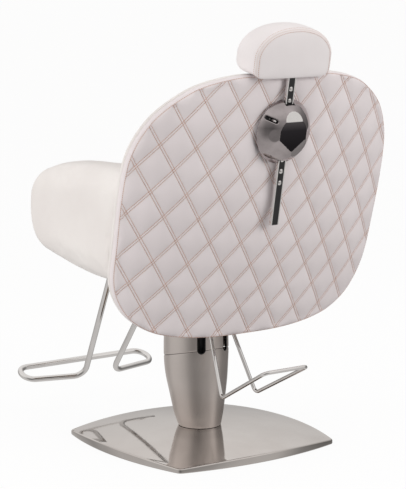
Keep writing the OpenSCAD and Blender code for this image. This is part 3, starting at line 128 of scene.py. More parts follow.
def make_studio():
    """Bright above and greyer round the sides, with dark gaps behind the camera and at -X for the metal to show."""
    world = bpy.data.worlds.new("studio")
    bpy.context.scene.world = world
    world.use_nodes = True
    tree = world.node_tree
    tree.nodes.clear()
    g = Graph(tree)
    way = g.add("ShaderNodeTexCoord").outputs["Generated"]
    split = g.add("ShaderNodeSeparateXYZ", {0: way})
    x, y, z = split.outputs
    height = g.math("MULTIPLY_ADD", z, 0.5, 0.5)
    by_height = g.ramp(height, [(0.0, 0.62), (0.40, 0.56), (0.50, 0.52), (0.58, 0.68), (0.72, 0.86), (1.0, 0.78)])
    angle = g.math("ARCTAN2", y, x)
    turn = g.math("MULTIPLY_ADD", angle, 1 / (2 * math.pi), 0.5)
    # Round the horizon, from -X by -Y, +X and +Y: a bright side at each hand and dark gaps between
    by_turn = g.ramp(turn, [
        (0.00, 0.30), (0.06, 0.20), (0.13, 0.95), (0.24, 1.0), (0.31, 0.60), (0.36, 1.0), (0.47, 1.0), (0.53, 0.80),
        (0.585, 0.34), (0.65, 0.24), (0.70, 0.44), (0.79, 0.62), (0.825, 1.0), (0.87, 1.0), (0.905, 0.40),
        (0.94, 0.26), (1.00, 0.30)])
    share = g.ramp(g.math("ABSOLUTE", z), [(0.0, 1.0), (0.35, 0.85), (0.70, 0.12), (1.0, 0.0)])
    light = g.mix(1.0, by_height, g.mix(share, WHITE, by_turn), "MULTIPLY")
    warm = g.mix(1.0, light, (1.0, 0.975, 0.955, 1), "MULTIPLY")
    lit = g.add("ShaderNodeBackground", {0: warm, 1: 1.0})
    plain = g.add("ShaderNodeBackground", {0: WHITE, 1: 1.0})
    seen = g.add("ShaderNodeLightPath").outputs["Is Camera Ray"]
    both = g.add("ShaderNodeMixShader", {0: seen, 1: lit.outputs[0], 2: plain.outputs[0]})
    g.add("ShaderNodeOutputWorld", {0: both.outputs[0]})
    for name, place, aim, size, power in (
        ("soft_box_left", (3.3, 0.1, 0.9), (0.1, 0.0, 0.55), (2.2, 1.8), 48),
        ("soft_box_rear", (-1.9, 3.7, 2.1), (0.0, 0.2, 0.7), (2.4, 1.8), 74),
        ("soft_box_top", (0.2, 0.4, 4.2), (0.0, 0.0, 0.5), (3.0, 3.0), 12),
    ):
        lamp = bpy.data.lights.new(name, "AREA")
        lamp.shape = "RECTANGLE"
        lamp.size, lamp.size_y = size
        lamp.energy = power
        lamp.color = (1.0, 0.985, 0.97)
        # The metal shows the studio round it and not the lamps
        aimed(name, lamp, place, aim).visible_glossy = False


def make_floor():
    size = 60
    mesh = bpy.data.meshes.new("floor")
    mesh.from_pydata([(-size, -size, 0), (size, -size, 0), (size, size, 0), (-size, size, 0)], [], [(0, 1, 2, 3)])
    floor = put_in_scene("floor", mesh)
    material = bpy.data.materials.new("pale_floor")
    material.use_nodes = True
    tree = material.node_tree
    tree.nodes.clear()
    g = Graph(tree)
    matt = g.add("ShaderNodeBsdfDiffuse", {0: (0.9, 0.9, 0.9, 1)})
    glow = g.add("ShaderNodeEmission", {0: WHITE, 1: 1.0})
    both = g.add("ShaderNodeMixShader", {0: 0.93, 1: matt.outputs[0], 2: glow.outputs[0]})
    g.add("ShaderNodeOutputMaterial", {0: both.outputs[0]})
    mesh.materials.append(material)
    floor.visible_glossy = False
    floor.visible_diffuse = False
    floor.visible_shadow = False


# Finishes


def finish_of(name):
    material = bpy.data.materials.new(name)
    material.use_nodes = True
    tree = material.node_tree
    tree.nodes.clear()
    g = Graph(tree)
    shader = g.add("ShaderNodeBsdfPrincipled")
    g.add("ShaderNodeOutputMaterial", {0: shader.outputs[0]})
    place = g.add("ShaderNodeTexCoord").outputs["Object"]
    return material, g, shader, place


def new_group(name, inputs, output, kind):
    """A shader node group with named inputs, each a kind of socket and its usual value, and one output."""
    tree = bpy.data.node_groups.new(name, "ShaderNodeTree")
    for socket, (socket_kind, value) in inputs.items():
        made = tree.interface.new_socket(socket, in_out="INPUT", socket_type="NodeSocket" + socket_kind)
        made.default_value = value
    tree.interface.new_socket(output, in_out="OUTPUT", socket_type="NodeSocket" + kind)
    g = Graph(tree)
    return g, g.add("NodeGroupInput").outputs


def patches_group():
    """Soft patches between two tones."""
    g, given = new_group("soft_patches", {
        "Place": ("Vector", (0, 0, 0)), "Scale": ("Float", 20.0), "Detail": ("Float", 3.0),
        "First": ("Color", WHITE), "Second": ("Color", WHITE)}, "Tone", "Color")
    noise = g.noise(given["Place"], given["Scale"], given["Detail"])
    share = g.add("ShaderNodeMapRange", {"Value": noise, "From Min": 0.35, "From Max": 0.65}).outputs[0]
    g.add("NodeGroupOutput", {0: g.mix(share, given["First"], given["Second"])})
    return g.tree


def pebbled_group():
    """Pebbles and creases of upholstery vinyl, over its broad ripple."""
    g, given = new_group("pebbled_grain", {
        "Place": ("Vector", (0, 0, 0)), "Pebble scale": ("Float", 900.0), "Crease scale": ("Float", 420.0),
        "Grain strength": ("Float", 0.22), "Ripple scale": ("Float", 28.0), "Ripple strength": ("Float", 0.25)},
        "Normal", "Vector")
    place = given["Place"]
    pebble = g.add("ShaderNodeTexVoronoi", {"Vector": place, "Scale": given["Pebble scale"]}, feature="SMOOTH_F1")
    grain = g.math("ADD", g.math("MULTIPLY", pebble.outputs["Distance"], 0.7),
                   g.math("MULTIPLY", g.noise(place, given["Crease scale"], 4.0), 0.3))
    broad = g.add("ShaderNodeBump", {
        "Height": g.noise(place, given["Ripple scale"], 2.0), "Strength": given["Ripple strength"],
        "Distance": 0.003, "Normal": g.bump(grain, given["Grain strength"], 0.0003)})
    g.add("NodeGroupOutput", {0: broad.outputs[0]})
    return g.tree


def relief_group():
    """Fine relief of a cast, brushed or moulded skin."""
    g, given = new_group("fine_relief", {
        "Place": ("Vector", (0, 0, 0)), "Scale": ("Float", 300.0), "Depth": ("Float", 0.0002)}, "Normal", "Vector")
    g.add("NodeGroupOutput", {0: g.bump(g.noise(given["Place"], given["Scale"], 4.0), 0.3, given["Depth"])})
    return g.tree


SOFT_PATCHES, PEBBLED_GRAIN, FINE_RELIEF = patches_group(), pebbled_group(), relief_group()


def tones(g, place, scale, first, second, detail=3.0):
    """Patches between two tones, each a colour or a number."""
    first, second = (tone if isinstance(tone, tuple) else (tone, tone, tone) for tone in (first, second))
    return g.group(SOFT_PATCHES, {
        "Place": place, "Scale": scale, "Detail": detail, "First": (*first, 1), "Second": (*second, 1)})


def white_vinyl(name, first, second):
    """Upholstery vinyl: fine pebbled grain, a soft sheen, and painted warm shade in the grooves where it is sewn
    down.
    """
    material, g, shader, place = finish_of(name)
    colour = tones(g, place, 5.0, first, second)
    # Painted warm shade along the sewn grooves, weighted by a point attribute
    mark = g.add("ShaderNodeAttribute", attribute_name="sewn").outputs["Fac"]
    shade = g.mix(g.math("MULTIPLY", mark, 0.45), colour, (0.60, 0.40, 0.30, 1))
    g.feed(shader, {"Base Color": shade, "Roughness": tones(g, place, 60.0, 0.46, 0.56),
                    "Normal": g.group(PEBBLED_GRAIN, {"Place": place}),
                    "Specular IOR Level": 0.42, "Sheen Weight": 0.08, "Sheen Roughness": 0.5})
    return material


def caramel_thread():
    """Twisted sewing thread."""
    material, g, shader, place = finish_of("caramel_thread")
    twist = g.noise(place, 1600.0, 2.0)
    colour = g.ramp(twist, [(0.3, (0.40, 0.155, 0.07)), (0.7, (0.60, 0.29, 0.15))])
    g.feed(shader, {"Base Color": colour, "Roughness": tones(g, place, 700.0, 0.6, 0.8),
                    "Normal": g.bump(twist, 0.4, 0.0002)})
    return material


def metal(name, first, second, smooth, rough, patch=14.0, bump_scale=0.0, bump_depth=0.0, stretch=None):
    """Bare metal, polished, machined or brushed along a stretch."""
    material, g, shader, place = finish_of(name)
    g.feed(shader, {"Metallic": 1.0, "Base Color": tones(g, place, patch, first, second)})
    if stretch:
        place = g.add("ShaderNodeMapping", {"Vector": place, "Scale": stretch}).outputs[0]
    g.feed(shader, {"Roughness": tones(g, place, patch * 6, smooth, rough, 6.0)})
    if bump_scale:
        relief = g.group(FINE_RELIEF, {"Place": place, "Scale": bump_scale, "Depth": bump_depth})
        g.feed(shader, {"Normal": relief})
    return material


def enamel(name, first, second, smooth, rough, bump_scale, bump_depth, metallic=0.0):
    """A dull skin: enamel, cast iron, plastic or rubber."""
    material, g, shader, place = finish_of(name)
    relief = g.group(FINE_RELIEF, {"Place": place, "Scale": bump_scale, "Depth": bump_depth})
    g.feed(shader, {"Metallic": metallic, "Base Color": tones(g, place, 30.0, first, second),
                    "Roughness": tones(g, place, 90.0, smooth, rough), "Normal": relief})
    return material


def facet_metal():
    """A painted reflection for the housing's flat: a dark metal colour, lighter towards its top, in place of the dark
    surroundings it mirrors.
    """
    material, g, shader, place = finish_of("facet_painted_reflection")
    foot, rise = 0.815, 0.085
    height = g.add("ShaderNodeSeparateXYZ", {0: place}).outputs[2]
    share = g.math("DIVIDE", g.math("SUBTRACT", height, foot), rise)
    # Painted reflection: near black at the foot of the flat, grey at its top
    colour = g.ramp(share, [(0.0, (0.020, 0.018, 0.020)), (0.45, (0.035, 0.032, 0.036)), (0.75, (0.13, 0.12, 0.125)),
                            (1.0, (0.40, 0.38, 0.385))])
    g.feed(shader, {"Metallic": 1.0, "Base Color": colour, "Roughness": tones(g, place, 90.0, 0.08, 0.13)})
    return material


def birch_ply():
    material, g, shader, place = finish_of("birch_ply")
    along = g.add("ShaderNodeMapping", {"Vector": place, "Scale": (3.0, 30.0, 3.0)}).outputs[0]
    rings = g.add("ShaderNodeTexWave", {"Vector": along, "Scale": 3.0, "Distortion": 6.0, "Detail": 3.0}).outputs[1]
    colour = g.ramp(rings, [(0.2, (0.60, 0.42, 0.25)), (0.8, (0.70, 0.53, 0.34))])
    g.feed(shader, {"Base Color": colour, "Roughness": tones(g, place, 40.0, 0.5, 0.65),
                    "Normal": g.bump(rings, 0.15, 0.0003)})
    return material


vinyl = white_vinyl("white_vinyl", (0.765, 0.730, 0.712), (0.81, 0.78, 0.762))
quilted_vinyl = white_vinyl("quilted_vinyl", (0.755, 0.700, 0.712), (0.80, 0.745, 0.758))
# A lighter copy of the white vinyl for the headrest: its extra brightness is painted light
headrest_vinyl_painted_light = white_vinyl("headrest_vinyl_painted_light", (0.815, 0.775, 0.783), (0.86, 0.82, 0.828))
thread = caramel_thread()
chrome = metal("polished_chrome", (0.80, 0.785, 0.775), (0.86, 0.845, 0.835), 0.06, 0.10)
base_steel = metal("mirror_steel", (0.63, 0.59, 0.565), (0.68, 0.645, 0.62), 0.035, 0.075, 9.0, 40.0, 0.0002)
satin = metal("satin_column", (0.73, 0.67, 0.635), (0.78, 0.72, 0.685), 0.31, 0.37, 8.0, 900.0, 0.00004, (1, 1, 0.15))
cast = metal("polished_casting", (0.40, 0.36, 0.365), (0.52, 0.475, 0.48), 0.035, 0.07, 20.0, 40.0, 0.0003)
facet_painted_reflection = facet_metal()
bright = metal("bright_steel", (0.50, 0.50, 0.51), (0.60, 0.60, 0.61), 0.25, 0.38, 40.0, 500.0, 0.00008)
bronze = metal("machined_bronze", (0.52, 0.34, 0.16), (0.60, 0.41, 0.21), 0.25, 0.35, 40.0, 600.0, 0.00006)
paint = enamel("grey_enamel", (0.075, 0.078, 0.085), (0.10, 0.103, 0.11), 0.35, 0.48, 300.0, 0.0002, 0.3)
iron = enamel("cast_iron", (0.045, 0.045, 0.048), (0.065, 0.065, 0.068), 0.6, 0.75, 250.0, 0.0005, 0.6)
plastic = enamel("black_plastic", (0.012, 0.012, 0.013), (0.018, 0.018, 0.019), 0.38, 0.5, 800.0, 0.0001)
rubber = enamel("black_rubber", (0.014, 0.014, 0.014), (0.022, 0.022, 0.022), 0.7, 0.85, 500.0, 0.0002)
ply = birch_ply()

FINISHES = {
    "white_vinyl": vinyl, "polished_base": base_steel, "chrome_bar": chrome, "cast_housing": cast,
    "satin_column": satin, "black_rubber": rubber, "black_plastic": plastic, "steel": paint, "bright_steel": bright,
    "bronze": bronze, "iron": iron, "plywood": ply,
}


# Helpers for meshes

MERGE, MERGE_CAD = 1e-6, 1e-5


def new_piece(name, points, faces, material, body):
    mesh = bpy.data.meshes.new(name)
    mesh.from_pydata([tuple(p) for p in points], [], [tuple(f) for f in faces])
    mesh.validate()
    piece = put_in_scene(name, mesh)
    mesh.shade_smooth()
    mesh.materials.append(material)
    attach(piece, body)
    return piece


def outwards(mesh, merge=0.0):
    """Turns the faces of a closed mesh outwards, once points nearer than merge are made one."""
    work = bmesh.new()
    work.from_mesh(mesh)
    if merge:
        bmesh.ops.remove_doubles(work, verts=work.verts, dist=merge)
    bmesh.ops.recalc_face_normals(work, faces=work.faces)
    work.to_mesh(mesh)
    work.free()


def wear(piece, *finishes):
    """The piece with these finishes only."""
    piece.data.materials.clear()
    for finish in finishes:
        piece.data.materials.append(finish)


def apply_modifiers(piece):
    """The piece with its modifiers made part of its mesh."""
    graph = bpy.context.evaluated_depsgraph_get()
    done = bpy.data.meshes.new_from_object(piece.evaluated_get(graph))
    piece.modifiers.clear()
    piece.data = done


def spline(points, count, closed):
    """Even points along a smooth curve through the given ones."""
    p = np.array(points, float)
    n = len(p)
    fine = []
    for i in range(n if closed else n - 1):
        a, b = p[i], p[(i + 1) % n]
        before = p[i - 1] if closed or i > 0 else 2 * a - b
        after = p[(i + 2) % n] if closed or i < n - 2 else 2 * b - a
        chord = np.linalg.norm(b - a)
        into = (b - before) / max(np.linalg.norm(b - before), 1e-9) * chord
        out = (after - a) / max(np.linalg.norm(after - a), 1e-9) * chord
        for t in np.arange(24) / 24:
            fine.append((2 * t**3 - 3 * t**2 + 1) * a + (t**3 - 2 * t**2 + t) * into + (3 * t**2 - 2 * t**3) * b
                        + (t**3 - t**2) * out)
    fine.append(p[0] if closed else p[-1])
    fine = np.array(fine)
    run = np.concatenate([[0], np.cumsum(np.linalg.norm(np.diff(fine, axis=0), axis=1))])
    at = np.linspace(0, run[-1], count + 1)[:-1] if closed else np.linspace(0, run[-1], count)
    return np.stack([np.interp(at, run, fine[:, k]) for k in range(p.shape[1])], 1)


def ring_faces(rings, sides):
    """Faces between rings of points that follow each other."""
    faces = []
    for i in range(rings - 1):
        for j in range(sides):
            a, b = i * sides + j, i * sides + (j + 1) % sides
            faces.append((a, b, b + sides, a + sides))
    return faces


def capped_faces(rings, sides):
    """The same, with each end closed round one of two points that come after the rings."""
    n = rings * sides
    start = [((j + 1) % sides, j, n) for j in range(sides)]
    end = [(n - sides + j, n - sides + (j + 1) % sides, n + 1) for j in range(sides)]
    return ring_faces(rings, sides) + start + end


def looped_faces(rings, sides):
    """The same, with the last ring joined to the first."""
    n = (rings - 1) * sides
    return ring_faces(rings, sides) + [(n + j, n + (j + 1) % sides, (j + 1) % sides, j) for j in range(sides)]


def mark_sewn(piece, values):
    """How near to a sewn line each point of a piece is, from 0 to 1, which its finish turns into painted shade."""
    mark = piece.data.attributes.new("sewn", "FLOAT", "POINT")
    mark.data.foreach_set("value", np.asarray(values).astype(np.float32))


def thread_group():
    """Stitches along a path: an elongated bead at each pitch, turned to follow it."""
    tree = bpy.data.node_groups.new("stitches_on_path", "GeometryNodeTree")
    sockets = tree.interface
    sockets.new_socket("Path", in_out="INPUT", socket_type="NodeSocketGeometry")
    for name, value in (("Pitch", 4.8 * MM), ("Stitch length", 3.7 * MM), ("Thread", 1.1 * MM)):
        sockets.new_socket(name, in_out="INPUT", socket_type="NodeSocketFloat").default_value = value
    sockets.new_socket("Finish", in_out="INPUT", socket_type="NodeSocketMaterial")
    sockets.new_socket("Stitches", in_out="OUTPUT", socket_type="NodeSocketGeometry")
    g = Graph(tree)
    given = g.add("NodeGroupInput").outputs
    curve = g.add("GeometryNodeMeshToCurve", {0: given["Path"]}).outputs[0]
    even = g.add("GeometryNodeResampleCurve", {"Curve": curve, "Length": given["Pitch"]}, mode="LENGTH").outputs[0]
    bead = g.add("GeometryNodeMeshUVSphere", {"Segments": 5, "Rings": 3, "Radius": 0.5})
    size = g.add("ShaderNodeCombineXYZ", {0: given["Thread"], 1: given["Thread"], 2: given["Stitch length"]})
    tangent = g.add("GeometryNodeInputTangent").outputs[0]
    turn = g.add("FunctionNodeAlignRotationToVector", {"Vector": tangent}, axis="Z").outputs[0]
    put = g.add("GeometryNodeInstanceOnPoints", {
        "Points": even, "Instance": bead.outputs[0], "Rotation": turn, "Scale": size.outputs[0]})
    real = g.add("GeometryNodeRealizeInstances", {0: put.outputs[0]})
    soft = g.add("GeometryNodeSetShadeSmooth", {0: real.outputs[0]})
    done = g.add("GeometryNodeSetMaterial", {0: soft.outputs[0], "Material": given["Finish"]})
    g.add("NodeGroupOutput", {0: done.outputs[0]})
    return tree


STITCHES = thread_group()


def sew(name, paths, body, closed=False):
    """A piece of stitches along each path, a list of points in metres."""
    points, edges = [], []
    for path in paths:
        start = len(points)
        points += [tuple(p) for p in path]
        edges += [(start + i, start + i + 1) for i in range(len(path) - 1)]
        if closed:
            edges.append((len(points) - 1, start))
    mesh = bpy.data.meshes.new(name + "_path")
    mesh.from_pydata(points, edges, [])
    piece = put_in_scene(name, mesh)
    modifier = piece.modifiers.new("stitches", "NODES")
    modifier.node_group = STITCHES
    for item in STITCHES.interface.items_tree:
        if item.in_out == "INPUT" and item.name == "Finish":
            modifier[item.identifier] = thread
    apply_modifiers(piece)
    piece.data.name = name
    if not piece.data.materials:
        piece.data.materials.append(thread)
    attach(piece, body)


# The back's curve, as the part's source has it

BACK_Y, BACK_Z, BACK_LEAN = 304, 678, math.radians(13)
BACK_HALF, BACK_UP, BACK_DOWN = 414, 315, 374
BACK_BOW, BACK_BARREL = 66, 11
PANEL_T = 20
DIAMOND_W, DIAMOND_H, QUILT_TURN = 94, 119, math.radians(5)
QUILT_X, QUILT_Z = 22, -60
HOUSING_Y, HOUSING_Z, BAR_LEAN = 341, 849, math.radians(10.2)


def sheet_y(x, z):
    """Depth of the back's curve at a point of its frame."""
    s = np.asarray(x) / BACK_HALF
    return -BACK_BOW * (0.73 * s**2 + 0.27 * s**4) - BACK_BARREL / BACK_UP**2 * np.asarray(z) ** 2


def on_sheet(flat, depth):
    """Flat points, as x and z, set a depth from the back's curve."""
    return np.stack([flat[:, 0], sheet_y(flat[:, 0], flat[:, 1]) + depth, flat[:, 1]], 1)


def lean(points, y, z, angle):
    """Points of a leaning frame, in millimetres, as places in metres."""
    p = np.asarray(points, float)
    c, s = math.cos(angle), math.sin(angle)
    return np.stack([p[..., 0], y + p[..., 1] * c + p[..., 2] * s, z - p[..., 1] * s + p[..., 2] * c], -1) * MM


def in_back(points):
    return lean(points, BACK_Y, BACK_Z, BACK_LEAN)


def in_housing(points):
    return lean(points, HOUSING_Y, HOUSING_Z, BAR_LEAN)


HALF_OUTLINE = [
    (0, 315), (70, 315.5), (130, 315), (174, 309), (211, 301), (243, 291), (270, 279), (310, 253), (340, 228),
    (363, 202), (388, 159), (404, 114), (411, 65), (413, 6), (413, -30), (410, -110), (408, -180), (404, -212),
    (398, -234), (388, -258), (373, -282), (356, -303), (336, -320), (303, -339), (263, -354), (192, -367),
    (104, -373.5), (0, -374),
]
OUTLINE = spline(HALF_OUTLINE[::-1] + [(-x, z) for x, z in HALF_OUTLINE[1:-1]], 1400, True)
outline_next, outline_last = np.roll(OUTLINE, -1, 0), np.roll(OUTLINE, 1, 0)
OUTLINE_ALONG = (outline_next - outline_last) / np.linalg.norm(outline_next - outline_last, axis=1)[:, None]
# The outline runs from the bottom by the +X side to the top, so its outer side is on the right
OUTLINE_OUT = np.stack([OUTLINE_ALONG[:, 1], -OUTLINE_ALONG[:, 0]], 1)
OUTLINE_STEP = np.linalg.norm(outline_next - outline_last, axis=1) / 2
outline_tree = kdtree.KDTree(len(OUTLINE))
for number, point in enumerate(OUTLINE):
    outline_tree.insert((point[0], point[1], 0), number)
outline_tree.balance()


def edge_distance(x, z):
    """How far a point of the back lies inside its outline, and its place along it, counted in points."""
    _, i, _ = outline_tree.find((x, z, 0))
    ahead = float(np.dot((x, z) - OUTLINE[i], OUTLINE_ALONG[i]))
    return float(np.dot(OUTLINE[i] - (x, z), OUTLINE_OUT[i])), i + ahead / OUTLINE_STEP[i]


def outline_at(place, inset):
    """Points of the outline, drawn in by a distance, at places counted in its points."""
    count = len(OUTLINE)
    first = np.floor(place).astype(int)
    share = (place - first)[:, None]
    before, after = first % count, (first + 1) % count
    at = (1 - share) * OUTLINE[before] + share * OUTLINE[after]
    return at - inset * ((1 - share) * OUTLINE_OUT[before] + share * OUTLINE_OUT[after])


def edge_line(inset, depth):
    """A line round the back's edge, as places in metres."""
    return in_back(on_sheet(OUTLINE[::2] - inset * OUTLINE_OUT[::2], depth))


# Quilted rear panel

SEAM_IN = 4.5
PANEL_EDGE = 13.0
CHANNEL = 2.9
PUFF = 6.6
QUILT_REACH = 8
STITCH_STEP, STITCH_PROUD = 0.02, 0.35
SPACING = 2 * (DIAMOND_W / 2) * (DIAMOND_H / 2) / math.hypot(DIAMOND_W / 2, DIAMOND_H / 2)


def lattice(a, b):
    """Place on the panel of the crossing a, b of the channels, which are whole numbers."""
    x0, z0 = (a - b) * DIAMOND_W / 2, (a + b) * DIAMOND_H / 2
    c, s = math.cos(QUILT_TURN), math.sin(QUILT_TURN)
    return QUILT_X + x0 * c - z0 * s, QUILT_Z + x0 * s + z0 * c


def pillow(a, b):
    """Height of the quilting over its channels, and how near the stitching is."""
    da = np.abs(a - np.round(a)) * SPACING
    db = np.abs(b - np.round(b)) * SPACING
    half = SPACING / 2

    def rise(d):
        share = np.clip((d - CHANNEL - 0.3) / (half - CHANNEL - 0.3), 0, 1)
        return 1 - (1 - share) ** 2.3

    def ridge(d):
        # The vinyl swells a little between the two rows and dips where they hold it
        swollen = np.where(d < CHANNEL, 1.1 * np.cos(d / CHANNEL * math.pi / 2), 0)
        return swollen - 0.4 * np.exp(-((d - CHANNEL) / 0.7) ** 2)

    flat_a = 1 - np.clip((da - CHANNEL) / 3, 0, 1)
    flat_b = 1 - np.clip((db - CHANNEL) / 3, 0, 1)
    height = PUFF * rise(da) * rise(db) + ridge(da) * (1 - 0.5 * flat_b) + ridge(db) * (1 - 0.5 * flat_a)
    near = np.maximum(np.exp(-((da - CHANNEL) / 0.8) ** 2), np.exp(-((db - CHANNEL) / 0.8) ** 2))
    return height, near


def quilt_depth_at(x, z, a, b, inside):
    """Depth of the quilted face behind the back's curve, which rolls over to the seam at its edge."""
    height, near = pillow(a, b)
    short = np.clip(PANEL_EDGE - inside, 0, PANEL_EDGE)
    roll = np.sqrt(PANEL_EDGE**2 - short**2) - PANEL_EDGE
    blend = np.clip((inside - SEAM_IN) / 12, 0, 1)
    blend = 0.3 + 0.7 * blend * blend * (3 - 2 * blend)
    return roll + (height - PUFF - 0.2) * blend - 0.4 * (1 - blend), near


def quilt_stitch_rows():
    """Two rows of stitches on each channel."""
    rows = []
    for which in (0, 1):
        for k in range(-QUILT_REACH, QUILT_REACH + 1):
            for side in (-1, 1):
                path = []
                for t in np.arange(-QUILT_REACH, QUILT_REACH, STITCH_STEP):
                    u = (k + side * CHANNEL / SPACING, t) if which == 0 else (t, k + side * CHANNEL / SPACING)
                    x, z = lattice(*u)
                    if abs(x) > BACK_HALF or not -BACK_DOWN < z < BACK_UP:
                        inside = -1
                    else:
                        inside = edge_distance(x, z)[0]
                    if inside > SEAM_IN + 0.6:
                        depth, _ = quilt_depth_at(x, z, np.array(u[0]), np.array(u[1]), np.array(inside))
                        path.append((x, float(sheet_y(x, z) + depth) + STITCH_PROUD, z))
                    elif path:
                        rows.append(path)
                        path = []
                rows.append(path)
    return [in_back(path) for path in rows if len(path) > 3]


def make_quilt():
    # The mesh is finest along the channels
    period = [0.0, 1.3, 2.3, 2.9, 3.5, 4.6, 6.3, 8.8, 12.0, 16.0, 21.0, 28.0]
    period = np.array(period + [SPACING / 2] + [SPACING - d for d in period[:0:-1]]) / SPACING
    line = np.concatenate([k + period for k in range(-QUILT_REACH, QUILT_REACH)])
    n = len(line)
    a, b = np.meshgrid(line, line, indexing="ij")
    x, z = lattice(a, b)
    far_outside = -99.0
    inside = np.full((n, n), far_outside)
    near_edge = (np.abs(x) < BACK_HALF + 20) & (z > -BACK_DOWN - 20) & (z < BACK_UP + 20)
    for i, j in zip(*np.nonzero(near_edge)):
        inside[i, j] = edge_distance(x[i, j], z[i, j])[0]
    within = inside - SEAM_IN
    within[np.abs(within) < 0.25] = 0.25
    index, points, faces = {}, [], []

    def corner(i, j):
        key = (i, j)
        if key not in index:
            index[key] = len(points)
            points.append((x[i, j], z[i, j], a[i, j], b[i, j], inside[i, j]))
        return index[key]

    def cut(p, q):
        key = (p, q) if p < q else (q, p)
        if key not in index:
            (i, j), (k, m) = key
            t = within[i, j] / (within[i, j] - within[k, m])
            index[key] = len(points)
            mixed = [(1 - t) * v[i, j] + t * v[k, m] for v in (x, z, a, b)]
            points.append((*mixed, SEAM_IN))
        return index[key]

    for i in range(n - 1):
        row = within[i:i + 2]
        for j in np.nonzero((row[0, :-1] > 0) | (row[0, 1:] > 0) | (row[1, :-1] > 0) | (row[1, 1:] > 0))[0]:
            ring = [(i, j), (i + 1, j), (i + 1, j + 1), (i, j + 1)]
            face = []
            for k in range(4):
                p, q = ring[k], ring[(k + 1) % 4]
                if within[p] > 0:
                    face.append(corner(*p))
                if (within[p] > 0) != (within[q] > 0):
                    face.append(cut(p, q))
            if len(face) > 2:
                faces.append(face)
    data = np.array(points)
    edges = dict.fromkeys(pair for face in faces for pair in zip(face, face[1:] + face[:1]))
    follow = {p: q for p, q in edges if (q, p) not in edges}
    start = next(iter(follow))
    loop, at = [start], follow[start]
    while at != start and len(loop) < len(follow) + 1:
        loop.append(at)
        at = follow[at]
    px, pz = data[:, 0].copy(), data[:, 1].copy()
    # The seam's points keep their order along the outline, so that the border has no folds
    ends = np.array([edge_distance(px[k], pz[k])[1] for k in loop])
    turn = len(OUTLINE)
    ends = ends[0] + np.concatenate([[0], np.cumsum((np.diff(ends) + turn / 2) % turn - turn / 2)])
    sign = 1 if ends[-1] > ends[0] else -1
    ends = sign * np.maximum.accumulate(sign * ends + 0.002 * np.arange(len(loop)))
    seam = outline_at(ends, SEAM_IN)
    px[loop], pz[loop] = seam[:, 0], seam[:, 1]
    depth, near = quilt_depth_at(px, pz, data[:, 2], data[:, 3], data[:, 4])
    place = [on_sheet(np.stack([px, pz], 1), depth)]
    # Painted shade along the stitched channels, fading out towards the seam
    sewn = [near * np.clip((data[:, 4] - SEAM_IN) / 3, 0, 1)]
    # The border rolls over the panel's edge, goes down to the shell and closes in against it
    # Each border row: inset, depth, and the painted shade it gets by the seam
    border = [(4.1, -4.9, 0.7), (3.5, -5.2, 0.4), (2.5, -5.9, 0), (1.5, -7.2, 0), (0.7, -9.2, 0), (0.2, -11.6, 0),
              (0, -14, 0), (0.3, -17.5, 0), (1.6, -19.4, 0), (4, -PANEL_T, 0)]
    rings = [(outline_at(ends, inset), y, mark) for inset, y, mark in border]
    rings += [(rings[-1][0] * share, -PANEL_T, 0) for share in (0.9, 0.75, 0.55, 0.35, 0.15)]
    total, round_it = len(px), len(loop)
    before = np.array(loop)
    for flat, y, mark in rings:
        place.append(on_sheet(flat, y))
        sewn.append(np.full(round_it, mark))
        ring = np.arange(total, total + round_it)
        total += round_it
        for k in range(round_it):
            m = (k + 1) % round_it
            faces.append((before[m], before[k], ring[k], ring[m]))
        before = ring
    place.append(np.array([[0, -PANEL_T, 0]]))
    sewn.append(np.zeros(1))
    faces += [(before[(k + 1) % round_it], before[k], total) for k in range(round_it)]
    panel = new_piece("quilted_panel", in_back(np.concatenate(place)), faces, quilted_vinyl, "back")
    mark_sewn(panel, np.concatenate(sewn))
    outwards(panel.data)
    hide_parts("rear_panel")
    sew("quilt_stitches", quilt_stitch_rows(), "back")
    sew("panel_seam_stitches", [edge_line(3.0, -5.1)], "back", closed=True)


# Edge strip and front lining of the back


def back_ring(name, profile, cap, node):
    """A closed skin round the back's outline: each profile point is an inset and a depth."""
    base, out = OUTLINE[::2], OUTLINE_OUT[::2]
    sides = len(base)
    rows = [on_sheet(base - inset * out, y) for inset, y in profile]
    if cap:
        inwards_shares = (0.88, 0.7, 0.5, 0.3, 0.12)
        (rear_inset, rear_y), (front_inset, front_y) = profile[0], profile[-1]
        rows += [on_sheet((base - front_inset * out) * share, front_y) for share in inwards_shares]
        rows = [on_sheet((base - rear_inset * out) * share, rear_y) for share in inwards_shares[::-1]] + rows
        points = [*np.concatenate(rows), (0, rear_y, 0), (0, front_y, 0)]
        faces = capped_faces(len(rows), sides)
    else:
        points, faces = np.concatenate(rows), looped_faces(len(rows), sides)
    piece = new_piece(name, in_back(points), faces, vinyl, "back")
    outwards(piece.data, MERGE)
    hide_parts(node)


def make_back():
    # The strip is a firm roll between the panel and the lining
    steps = 12
    strip = []
    for k in range(steps + 1):
        w = math.pi * k / steps
        strip.append((6.4 - 5.9 * math.sin(w) ** 0.8, -20.4 - 5.8 * (1 - math.cos(w))))
    back_ring("edge_roll", strip, False, "edge_strip")
    lining = [(7.5, -32.4), (7.1, -33.5), (7.4, -35.0), (8.4, -37.6), (10.4, -40.4), (13.2, -42.6), (16.6, -43.7),
              (21, -44), (40, -44)]
    back_ring("front_cover", lining, True, "front_lining")
    sew("front_seam_stitches", [edge_line(17.5, -44.0)], "back", closed=True)


# Cushions, and other forms taken from the solids


def even_copy(name, node, voxel, evening):
    """A piece with a solid's form, in small even faces whose edges are softened."""
    mesh = nodes[node].data.copy()
    outwards(mesh, MERGE_CAD)
    piece = put_in_scene(name, mesh)
    remesh = piece.modifiers.new("remesh", "REMESH")
    remesh.mode = "VOXEL"
    remesh.voxel_size = voxel
    apply_modifiers(piece)
    smooth_steps(piece, evening)
    return piece


